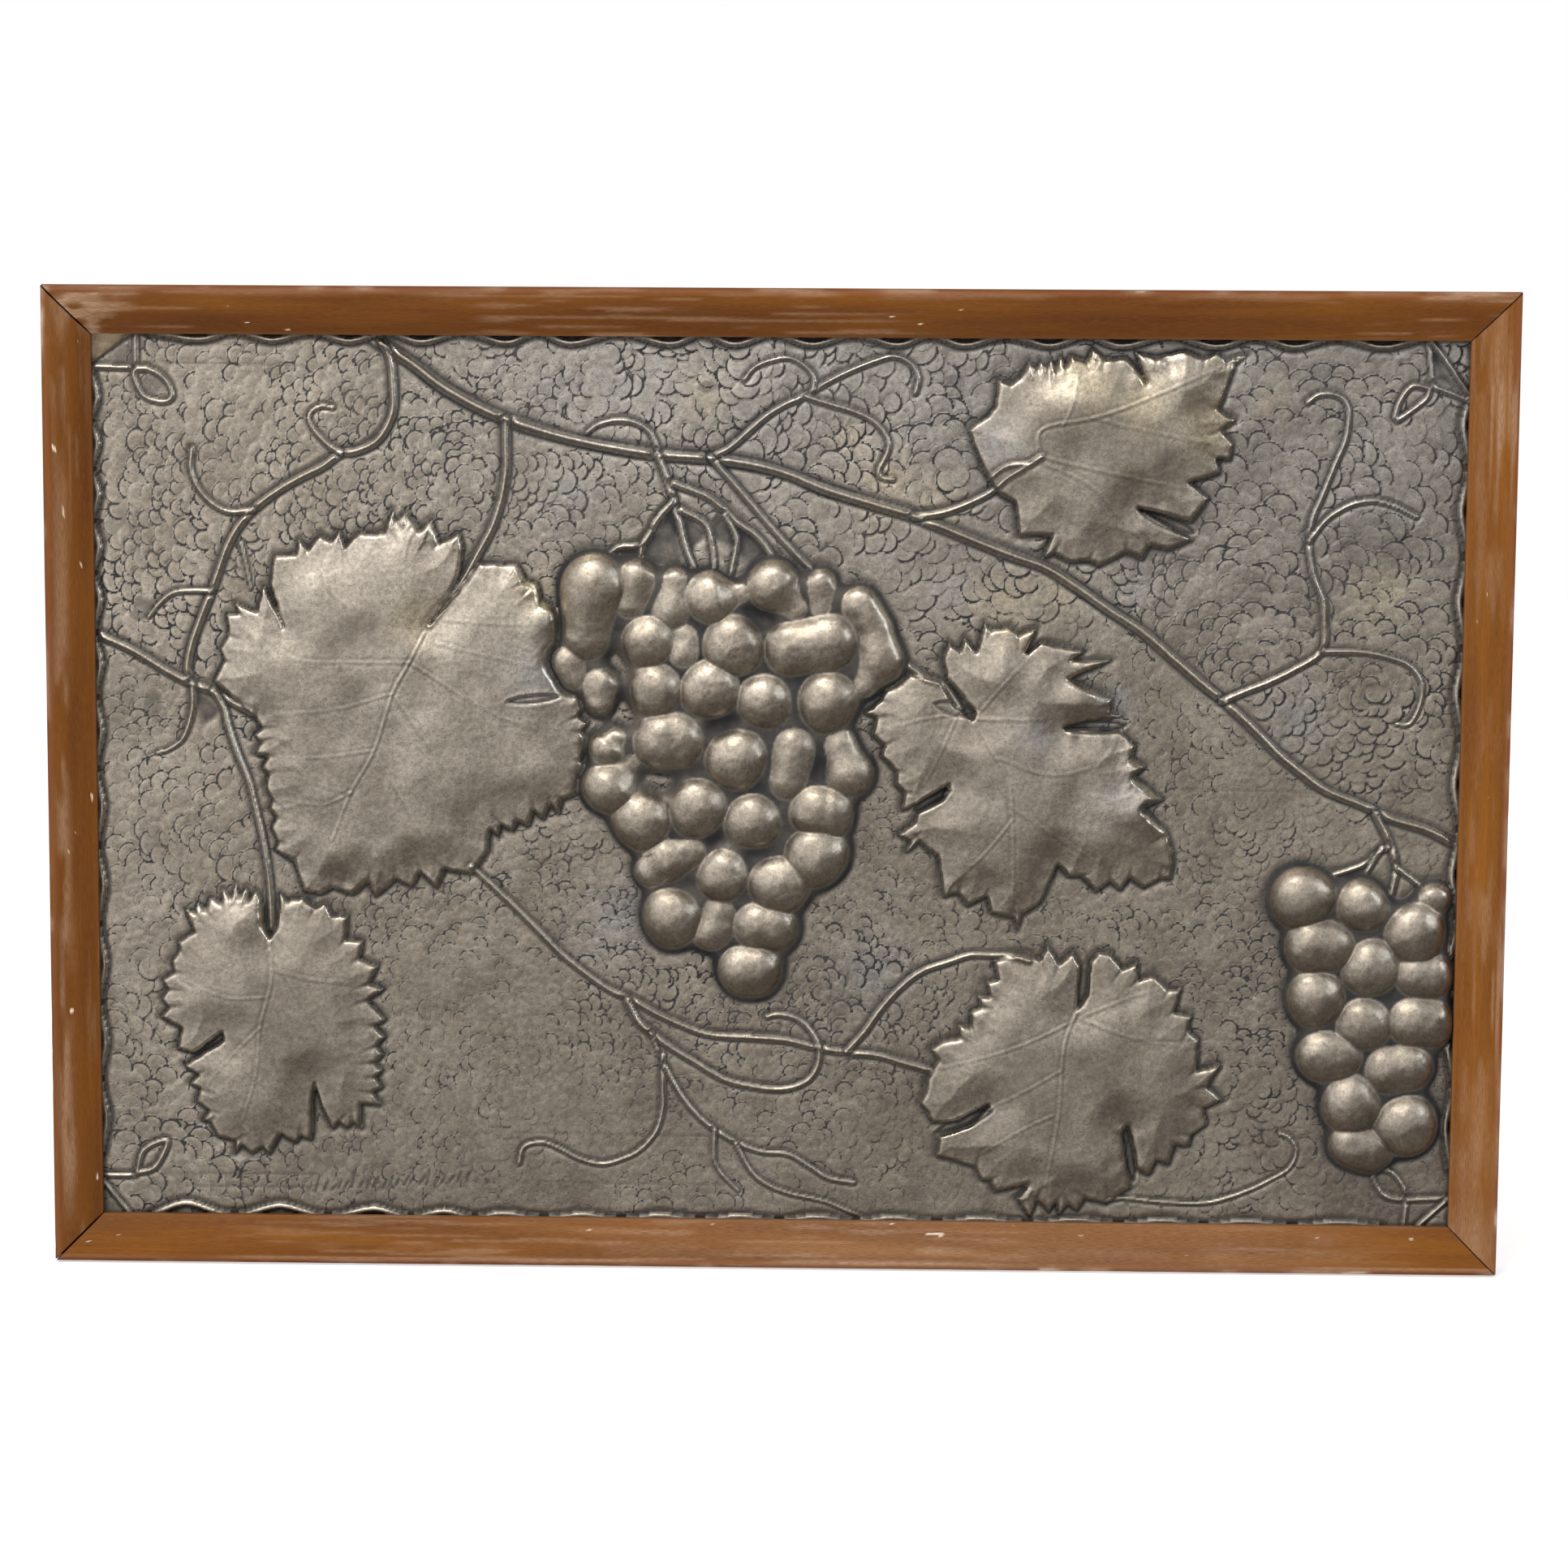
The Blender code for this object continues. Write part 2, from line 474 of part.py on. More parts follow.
def add_leaf(name, corners, forms, domes):
    """A leaf: its toothed outline, crowned by a flat dome."""
    outline = toothed_outline(corners)
    dome = dome_of(outline)
    depth = FORM_SINK + LEAF_CROWN * 2
    mesh = extruded_outline(name, outline, depth)
    mesh.transform(Matrix.Rotation(math.pi / 2, 4, "X"))
    mesh.transform(Matrix.Translation((0, -(SHEET_FRONT - FORM_SINK + depth / 2), 0)))
    leaf = add_object(name, mesh, forms, helper=True)
    centre, half_width, half_height = dome
    ball = squashed_ball(
        name + "_crown", (centre.x, -SHEET_FRONT, centre.y), (half_width, LEAF_CROWN, half_height),
        DOME_SEGMENTS, DOME_RINGS,
    )
    cut = leaf.modifiers.new("crown", "BOOLEAN")
    cut.operation = "INTERSECT"
    cut.solver = "EXACT"
    cut.object = add_object(name + "_crown", ball, domes, helper=True)
    for index, vein in enumerate(VEINS[name]):
        route = smooth_route([place(*point) for point in vein], 2 * ROUTE_STEP)
        sunk = VEIN_SINK + index * CROSSING_STEP
        points = [(x, -(SHEET_FRONT + dome_rise(dome, x, z) - sunk), z) for x, z in route]
        ridge(f"{name}_vein_{index}", points, VEIN_RADIUS, forms)


def add_grape(index, x, z, half_width, half_height, forms):
    wide, tall = half_width * SCALE_X, half_height * SCALE_Z
    across, up = place(x, z)
    name = f"grape_{index}"
    ball = squashed_ball(
        name, (across, -(SHEET_FRONT - ROUND_SINK), up),
        (GRAPE_SPREAD * wide, GRAPE_DEPTH * math.sqrt(wide * tall), GRAPE_SPREAD * tall),
        GRAPE_SEGMENTS, GRAPE_RINGS,
    )
    add_form(name, ball, forms)


def add_stalk(name, index, radius, corners, forms):
    radius *= SCALE_Z
    route = smooth_route([place(*point) for point in corners], ROUTE_STEP)
    depth = SHEET_FRONT - ROUND_SINK - index * CROSSING_STEP
    ridge(name, [(x, -depth, z) for x, z in route], radius, forms)


def waved_side(length, reach, turn, forms, name):
    """One side of the border, built along the bottom and turned about Y."""
    middle = reach - (WAVE_INSIDE - WAVE_OUTSIDE) / 2
    swing = (WAVE_INSIDE + WAVE_OUTSIDE) / 2
    run = length - 2 * CORNER_ROOM
    waves = max(1, round(run / WAVE_LENGTH))
    depth = SHEET_FRONT + BORDER_RISE - BORDER_RADIUS
    turned = Matrix.Rotation(turn, 3, "Y")
    points = []
    for index in range(waves * WAVE_STEPS + 1):
        share = index / (waves * WAVE_STEPS)
        wave = math.cos(2 * math.pi * waves * share)
        points.append(turned @ Vector((run * (share - 0.5), -depth, -(middle - swing * wave))))
    ridge(name, points, BORDER_RADIUS, forms)


def make_sheet(collection, forms, domes, material):
    """The pewter sheet with every raised form joined to it."""
    mesh = box_mesh(
        "pewter_sheet", SIGHT_WIDTH + 2 * SHEET_UNDER_LIP, SIGHT_HEIGHT + 2 * SHEET_UNDER_LIP,
        SHEET_BACK, SHEET_FRONT,
    )
    (x0, z0), (x1, z1) = (place(*point) for point in CUT_CORNER)
    cut_off(mesh, (x0, 0, z0), (z0 - z1, 0, x1 - x0))
    mesh.materials.append(material)
    sheet = add_object("pewter_sheet", mesh, collection)
    for name, corners in LEAVES.items():
        add_leaf(name, corners, forms, domes)
    for index, grape in enumerate(GRAPES):
        add_grape(index, *grape, forms)
    strokes = [(CORNER_STROKE_RADIUS, corners) for corners in CORNER_STROKES]
    for index, (radius, corners) in enumerate(STALKS + strokes):
        add_stalk(f"stalk_{index}", index, radius, corners, forms)
    sides = {"bottom": 0, "left": math.pi / 2, "top": math.pi, "right": -math.pi / 2}
    for side, turn in sides.items():
        length, across = SIGHT_WIDTH, SIGHT_HEIGHT
        if side in ("left", "right"):
            length, across = across, length
        waved_side(length, across / 2, turn, forms, "border_" + side)
    union = sheet.modifiers.new("relief", "BOOLEAN")
    union.operation = "UNION"
    union.solver = "EXACT"
    union.operand_type = "COLLECTION"
    union.collection = forms
    return sheet


def main():
    clear_scene()
    panel = make_collection("decorative_pewter_panel")
    forms = make_collection("relief_forms", helpers=True)
    domes = make_collection("leaf_crowns", helpers=True)
    wood = make_material("stained_wood", (0.30, 0.10, 0.03), 0.5)
    fibre = make_material("fibre_board", (0.52, 0.42, 0.29), 0.9)
    pewter = make_material("pewter", (0.42, 0.39, 0.36), 0.42, metallic=0.9)
    make_board(panel, fibre)
    make_sheet(panel, forms, domes, pewter)
    half_turn = math.pi / 2
    rails = {
        "frame_rail_bottom": (OUTER_WIDTH, OUTER_HEIGHT, 0, ("bottom_left", "bottom_right")),
        "frame_rail_left": (OUTER_HEIGHT, OUTER_WIDTH, half_turn, ("top_left", "bottom_left")),
        "frame_rail_top": (OUTER_WIDTH, OUTER_HEIGHT, 2 * half_turn, ("top_right", "top_left")),
        "frame_rail_right": (OUTER_HEIGHT, OUTER_WIDTH, -half_turn, ("bottom_right", "top_right")),
    }
    for name, (length, across, turn, corners) in rails.items():
        make_rail(name, length, across / 2, turn, corners, panel, wood)


main()
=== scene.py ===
import math

import bpy
import numpy as np
from mathutils import Matrix, Vector


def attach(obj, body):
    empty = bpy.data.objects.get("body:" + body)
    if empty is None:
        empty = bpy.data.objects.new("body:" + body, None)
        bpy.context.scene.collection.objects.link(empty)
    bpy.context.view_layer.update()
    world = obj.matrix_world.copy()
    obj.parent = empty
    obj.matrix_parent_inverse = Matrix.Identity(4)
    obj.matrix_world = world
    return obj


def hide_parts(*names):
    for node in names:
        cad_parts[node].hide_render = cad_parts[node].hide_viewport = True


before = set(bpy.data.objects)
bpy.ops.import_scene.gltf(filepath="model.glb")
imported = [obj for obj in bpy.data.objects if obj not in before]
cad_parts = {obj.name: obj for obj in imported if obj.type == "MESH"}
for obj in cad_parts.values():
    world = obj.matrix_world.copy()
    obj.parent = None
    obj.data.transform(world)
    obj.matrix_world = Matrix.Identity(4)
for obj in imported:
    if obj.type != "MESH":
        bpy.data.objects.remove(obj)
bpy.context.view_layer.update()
random = np.random.default_rng(20)

# Sizes are in millimetres, depths forward from the wall
SIGHT_X = 285.0
SIGHT_Z = 185.5
UNDER_LIP = 6.0
SHEET_BACK = 9.3
SHEET_FRONT = 10.5
GRID_STEP = 0.70
BANDS = 5
RAIL_WIDTH = 20.0
RAIL_DEPTH = 20.0
LIP_FRONT = 15.0
LIP_BACK = 12.3
EDGE_ROUND = 3.0
FACE_CURVE = 1.8
REBATE_WIDTH = 9.0
MITRE_GAPS = {"top_left": 0.6, "top_right": 0.3, "bottom_right": 0.3, "bottom_left": 0.6}
LEAF_CROWN = 6.0
LEAF_SPREAD = 1.30
GRAPE_SPREAD = 1.13
STALK_SPREAD = 1.22
GRAPE_DEPTH = 0.79
MOUND = 4.6
CUT_CORNER = ((-285, 174), (-268, 187.5))

# A leaf's margin runs anticlockwise. Each corner is x and z, and where there are teeth up to the next
# corner, how many and how deep
LEAVES = {
    "large_leaf": [
        (-131, 97), (-132.5, 103.5, 1, 6), (-144, 109.5, 1, 4), (-155, 112, 1, 5), (-160.5, 113, 1, 6),
        (-174.5, 103.5, 1, 7), (-182.5, 104, 2, 4), (-199.5, 100.5, 1, 5), (-210, 94), (-212, 82),
        (-206, 64), (-214.5, 81.5, 1, 6), (-226.5, 73.5, 1, 3), (-230, 69, 2, 2.5), (-236, 41),
        (-219, 27, 2, 3), (-219, 10.5, 1, 4), (-215.5, 5, 4, 2.5), (-211, -30, 1, 2.5), (-201, -40),
        (-199, -47.5), (-192, -48.5, 1, 3.5), (-178, -48.5, 1, 4.5), (-168.5, -49.5, 1, 4.5),
        (-153, -45.5, 1, 7), (-142.5, -45.5, 1, 7), (-128, -39.5), (-121, -30), (-120, -20.5),
        (-116.5, -23.5, 4, 4), (-91, -13.5, 1, 4), (-82, -4.5, 1, 4), (-78, 5, 1, 4), (-78.5, 17, 2, 3),
        (-79, 33), (-82, 36.5), (-81, 40, 1, 2), (-82, 54, 1, 2), (-88, 71, 1, 3), (-100, 83, 1, 3),
        (-108, 91), (-125, 91.5), (-134, 78), (-145, 66), (-137.5, 76), (-132.5, 86.5),
    ],
    "lower_left_leaf": [
        (-216.5, -51), (-219, -48, 2, 3), (-227.5, -45, 4, 4), (-249.5, -55), (-245, -65),
        (-252.5, -69, 1, 2), (-255, -77.5, 1, 3), (-259, -85.5, 2, 3.5), (-260, -101.5), (-251, -106),
        (-253, -115), (-246, -117), (-234, -108), (-233.5, -111), (-250, -122, 3, 3.5), (-243, -146, 1, 3),
        (-236.5, -152.5, 1, 5), (-229, -160.5, 2, 4), (-214.5, -160, 1, 6), (-203, -155, 1, 3),
        (-196.5, -154), (-194.5, -129), (-192, -140), (-187, -149, 2, 3), (-175, -148.5), (-175.5, -138),
        (-167, -138.5, 1, 5), (-166, -131, 4, 4), (-164.5, -102, 1, 6), (-165, -89, 1, 7),
        (-167.5, -79, 2, 6), (-180, -57.5, 1, 4), (-190, -52, 2, 2.5), (-209, -48.5), (-210, -62),
        (-213, -67), (-216, -62),
    ],
    "upper_right_leaf": [
        (79, 148), (86, 130), (92, 122), (99, 118), (100, 104), (114, 104.5), (110.5, 95, 2, 2),
        (134, 92, 1, 4), (152, 95, 1, 4), (163, 99), (172.5, 103), (149.5, 116), (172, 110), (179, 120.5),
        (170.5, 127), (183.5, 130.5, 1, 4), (187.5, 136), (188.5, 143, 1, 5), (189, 152.5, 1, 6),
        (185.5, 165, 1, 2), (194, 179.5, 2, 2.5), (168, 181, 1, 2), (147.5, 180), (152, 168),
        (144, 178, 1, 3), (130, 181.5, 1, 4), (121, 179, 4, 4.5), (104, 176.5), (100, 169.5, 1, 2),
        (91, 168.5), (90, 158, 1, 1),
    ],
    "middle_right_leaf": [
        (82, 28), (75, 33), (68, 43.5), (56, 46), (46, 42, 1, 2), (37, 30, 2, 3), (44, 12, 1, 3),
        (50, 0, 1, 2.5), (53, -11), (60, -8), (72.5, 0), (70, -5.5), (59, -11.5, 1, 2), (51.5, -21, 1, 3),
        (55, -28.5, 1, 4), (68, -30), (71, -47, 1, 4), (81, -51, 1, 5), (91, -54, 1, 3), (102, -61.5, 1, 3),
        (112, -49), (118.5, -33.5), (123, -38, 1, 3), (135, -44.5, 2, 4.5), (155, -42.5, 1, 2), (166, -39),
        (167, -28), (164, -19), (154, -9), (162.5, -5.5), (150, 4), (154.5, 8, 1, 3), (150.5, 17),
        (144, 23), (121, 24.5), (130, 28), (145, 29, 1, 4), (140.5, 37), (122, 45), (139.5, 52.5),
        (123.5, 53), (129, 56.5), (110, 60), (104.5, 56), (108.5, 66, 1, 3), (97, 66.5, 1, 2), (86.5, 68),
        (83.5, 56), (78.5, 61.5, 1, 5), (72, 59), (69.5, 53), (71, 45), (82.5, 31),
    ],
    "lower_right_leaf": [
        (127.5, -94), (129, -76), (125.5, -70.5, 1, 4.5), (115, -68, 1, 4.5), (105, -70.5), (92, -74),
        (94, -82), (89, -83, 2, 4.5), (82.5, -96, 1, 4), (77.5, -101.5, 1, 5), (70.5, -108.8),
        (66, -112, 1, 3.5), (64.5, -125, 1, 1), (62, -135), (67.5, -143.5), (78, -143), (90.5, -136),
        (84, -144), (70, -149.5), (69, -158), (76, -160, 1, 3), (88, -168, 1, 2), (94, -173.5),
        (107.5, -170), (103, -176), (109, -184.5, 1, 6), (117, -182, 1, 5), (121.5, -182.5, 1, 4),
        (129, -181, 1, 4), (141, -177.5), (151.5, -171), (147.3, -148), (149.5, -144), (153.5, -163),
        (159, -165, 1, 3), (167, -160.5, 1, 4), (176, -153, 1, 3), (183, -143.5, 1, 6), (190, -133, 1, 5),
        (188, -118, 1, 7), (179, -107, 1, 4), (176, -96.7, 1, 6), (171.5, -85, 1, 4), (159.5, -79.5, 1, 5),
        (152, -75, 1, 5), (141, -71), (136, -70), (132.5, -74), (131.5, -88),
    ],
}

# Veins of each leaf, as x, z places, and how bold the first, the next ones and the rest are
VEIN_POWERS = (0.42, 0.32, 0.32, 0.24)
VEINS = {
    "large_leaf": [
        [(-147, 62), (-153, 50), (-160, 37), (-168, 13), (-178, -5), (-186, -25)],
        [(-153, 50), (-176, 50), (-200, 51), (-215, 61)], [(-153, 50), (-120, 30), (-100, 22)],
        [(-160, 37), (-185, 30), (-210, 28)], [(-160, 37), (-140, 8), (-133, 0)],
        [(-168, 13), (-190, 10), (-210, 10)], [(-168, 13), (-155, -10), (-143, -30)],
        [(-178, -5), (-190, -10), (-208, -8)], [(-178, -5), (-190, -2), (-203, 3)],
        [(-178, -5), (-176, -15), (-172, -25)], [(-190, 88), (-186, 80), (-177, 72)],
        [(-168, 95), (-164, 88), (-158, 80)], [(-152, 105), (-155, 94), (-155, 80)],
        [(-139, 68), (-120, 66.5), (-105, 66)], [(-142, 58), (-120, 53), (-100, 48)],
    ],
    "lower_left_leaf": [
        [(-213, -68), (-212, -85), (-217, -105), (-219, -125), (-225, -145)],
        [(-213, -72), (-203, -88), (-190, -110)], [(-214, -92), (-232, -92), (-250, -85)],
        [(-217, -105), (-210, -120), (-203, -150)], [(-212, -80), (-196, -84), (-178, -86)],
        [(-217, -105), (-230, -118), (-240, -130)],
    ],
    "upper_right_leaf": [
        [(109, 135), (109, 148), (130, 153), (150, 160), (193, 179)],
        [(109, 135), (130, 125), (142, 112), (155, 100)], [(109, 137), (140, 130), (175, 123)],
        [(130, 153), (152, 148), (178, 143)], [(109, 148), (104, 156), (100, 165)],
        [(118, 150), (122, 160), (124, 172)],
    ],
    "middle_right_leaf": [
        [(83, 27), (90, 15), (96, 5), (99, -10), (100, -55)], [(83, 28), (100, 28), (112, 28)],
        [(75, 30), (62, 28), (50, 25)], [(75, 28), (68, 12), (62, 0)], [(92, 12), (115, 5), (138, 10)],
        [(98, -8), (116, -20), (136, -32)], [(99, -14), (88, -28), (76, -40)],
        [(86, 32), (96, 44), (104, 52)],
    ],
    "lower_right_leaf": [
        [(127, -96), (122, -110), (120, -140), (115, -170)], [(124, -100), (100, -111), (70, -120)],
        [(129, -98), (152, -106), (175, -110)], [(128, -100), (140, -118), (150, -130)],
        [(118, -139), (104, -146), (85, -158)], [(121, -120), (104, -130), (85, -140)],
        [(124, -104), (138, -132), (145, -150)], [(126, -97), (112, -88), (98, -84)],
        [(130, -97), (146, -90), (160, -86)],
    ],
}

# Each grape is one ball, or a chain of balls melted together: x, z and radius of each
GRAPES = [
    [(-76.5, 81.5, 12.5), (-79.5, 61, 9)], [(-87, 51, 6), (-84.5, 44, 5)], [(-58, 85.5, 7), (-61, 75, 6)],
    [(-42.5, 85, 4.5), (-44, 71.5, 7)], [(-26, 77.5, 10.8), (-14.5, 79.5, 3.5)],
    [(-1, 82, 10.3), (8, 73.5, 4.5)], [(18.5, 84, 5.5), (18.5, 74, 4)],
    [(34.5, 75, 7), (41.5, 65, 6.5), (43.5, 52, 8.5), (37, 42, 5)], [(-53.5, 59, 10.3)],
    [(-38.5, 61.5, 5), (-38.5, 54.5, 5.8)], [(-18, 57.5, 12)], [(6.5, 57, 10.8), (22.5, 59, 11)],
    [(-73.5, 41.5, 6.3), (-74, 34, 5.3)], [(-50, 39, 10.5)], [(-27.5, 39.5, 11.8)], [(-5, 34.5, 10.8)],
    [(21.5, 34.5, 11.8)], [(-70, 15, 7.3), (-67, 19, 4)], [(-47.5, 17.5, 11.3), (-41, 18, 10.6)],
    [(-16.5, 10, 12)], [(8, 15.5, 7.8), (5, 1, 7.3)], [(27, 16, 6.3), (31, 4.5, 9)],
    [(-68.5, -2, 10.8), (-60, 9, 3)], [(-56, -16, 11.5)], [(-32.5, -10.5, 11.5)], [(-9.5, -16, 11)],
    [(17, -12, 10.5), (22, -12.5, 10.2)], [(17, -30.5, 12.3)],
    [(-52, -37, 6.5), (-46, -33, 9), (-35.5, -29, 6)], [(-22, -39, 10.2)], [(2, -42.5, 11.8)],
    [(-43, -57, 11.6)], [(-24, -55.5, 7), (-26, -62, 8)], [(-6.5, -60, 9.9), (-1, -60.4, 9.8)],
    [(-13, -79, 10), (-7.5, -79, 10)], [(221, -46.5, 12.3)], [(246, -49.5, 10.3)], [(268, -61, 12)],
    [(276, -46, 6)], [(225.5, -66.5, 11), (232, -66.5, 10.5)], [(250, -75.5, 11.5)],
    [(269.5, -78.5, 9.3), (275, -78.5, 9)], [(227.5, -88.5, 11.3)], [(247.5, -99.5, 10.8)],
    [(268, -98.5, 10), (275.5, -98.5, 9.5)], [(231, -113, 10.3), (237, -113.5, 9.6)],
    [(258.5, -119, 9.5), (266, -117.5, 9.8)], [(243, -133.5, 11.6)], [(266, -142.5, 12.3)],
    [(244, -151.5, 8.8), (251.5, -153, 8.8)],
]

# Worn, pitted discs on some of the grapes: x, z, reach
WORN_DISCS = [
    (9, 53.5, 5.5), (24, 54.5, 5), (-16.5, 57.5, 6.5), (-24.5, 38, 6), (-9, 33, 4.5), (-17, 7, 5),
    (-45, 18, 3.5), (2, -45, 3), (-4, 55.5, 4),
]

# Where the grapes melt into the mound between them: x, z, reach
MELTED = [(-50, -2, 9), (-62, 50, 7), (-58, 28, 6), (-36, 25, 5), (-20, -28, 4)]

# Where leaves curl up at the margin, with a painted shine on them: x, z, reach
CURLS = [
    (-95, 76, 20), (118, 176, 20), (147, -6, 17), (-233, -49, 17), (-212, -52, 12), (78, -93, 17),
    (110, -172, 14), (-150, 104, 14), (-172, -46, 13), (160, 172, 14), (135, 26, 12), (146, -156, 12),
]

# How lively the surface of each leaf is
LIVELY = {"lower_right_leaf": 0.32, "lower_left_leaf": 0.4, "upper_right_leaf": 0.8}

# How much lighter or darker the metal of each leaf is than its surroundings
LEAF_TONES = {
    "lower_left_leaf": 0.26, "upper_right_leaf": -0.26, "middle_right_leaf": -0.16, "large_leaf": -0.04,
}

# Swellings whose upper left flanks shine: x, z, reach, height
SWELLINGS = [
    (152, -9, 9, 3.8), (150, 8, 5, 1.6), (126, 38, 8, 2.2), (-96, 70, 10, 2.0), (-108, 82, 6, 1.4),
    (120, 158, 12, 1.6), (165, 168, 9, 1.6), (176, 112, 6, 1.4), (168, 96, 5, 1.2), (-225, -62, 9, 1.6),
    (-190, 72, 12, 1.2), (96, 50, 8, 1.6),
]

# Painted yellowish and bluish reflections on the metal: x, z, reach
PAINTED_YELLOWISH_REFLECTIONS = [
    (-97, 80, 11), (-84, 66, 9), (46, 125, 14), (66, 118, 10), (94, 75, 13), (128, 168, 12), (152, 160, 11),
    (178, 152, 12), (-150, 68, 9), (33, 143, 8), (118, 82, 8), (250, 80, 12), (205, 160, 10), (-30, 160, 10),
]
PAINTED_BLUISH_REFLECTIONS = [
    (-60, 165, 26), (-90, 160, 22), (0, 175, 20), (-88, 118, 16), (70, 82, 12), (55, 150, 16), (150, 84, 13),
    (-100, 45, 13), (-92, 68, 8), (-66, -60, 16), (215, 30, 14), (245, 150, 16), (40, -80, 14),
    (143, -4, 9), (142, 36, 7), (108, 20, 9), (92, 142, 10),
]

# Almond slits in the leaves: the two ends and the half width
SLITS = [
    ((-112, 33.8), (-91, 35.8), 1.3), ((-213.5, -50), (-213, -67), 2.3), ((150, 115), (173, 106), 2.6),
    ((121, 24), (146, 25.5), 2.2), ((58, -11), (73, -2), 2.0), ((69, -148), (92, -138), 2.0),
    ((148, -145), (152.5, -168), 1.9), ((66, 34), (83, 30), 2.4),
]

# Deep, dark places between the stalks over the grapes: outlines as x, z corners
DARK_POOLS = [
    [(-44, 116), (-40, 104), (-40, 92), (-54, 90), (-70, 92), (-54, 104)],
    [(-40, 116), (-31, 106), (-12, 92), (-6, 92), (4, 93), (-14, 110), (-22, 118), (-26, 110), (-38, 92)],
    [(-206, -62), (-205, -52), (-200, -49), (-194, -50), (-200, -60)],
    [(-246, 38), (-238, 34), (-233, 28), (-240, 22), (-245, 30)],
    [(270, 183), (283, 164), (271, 169)],
]

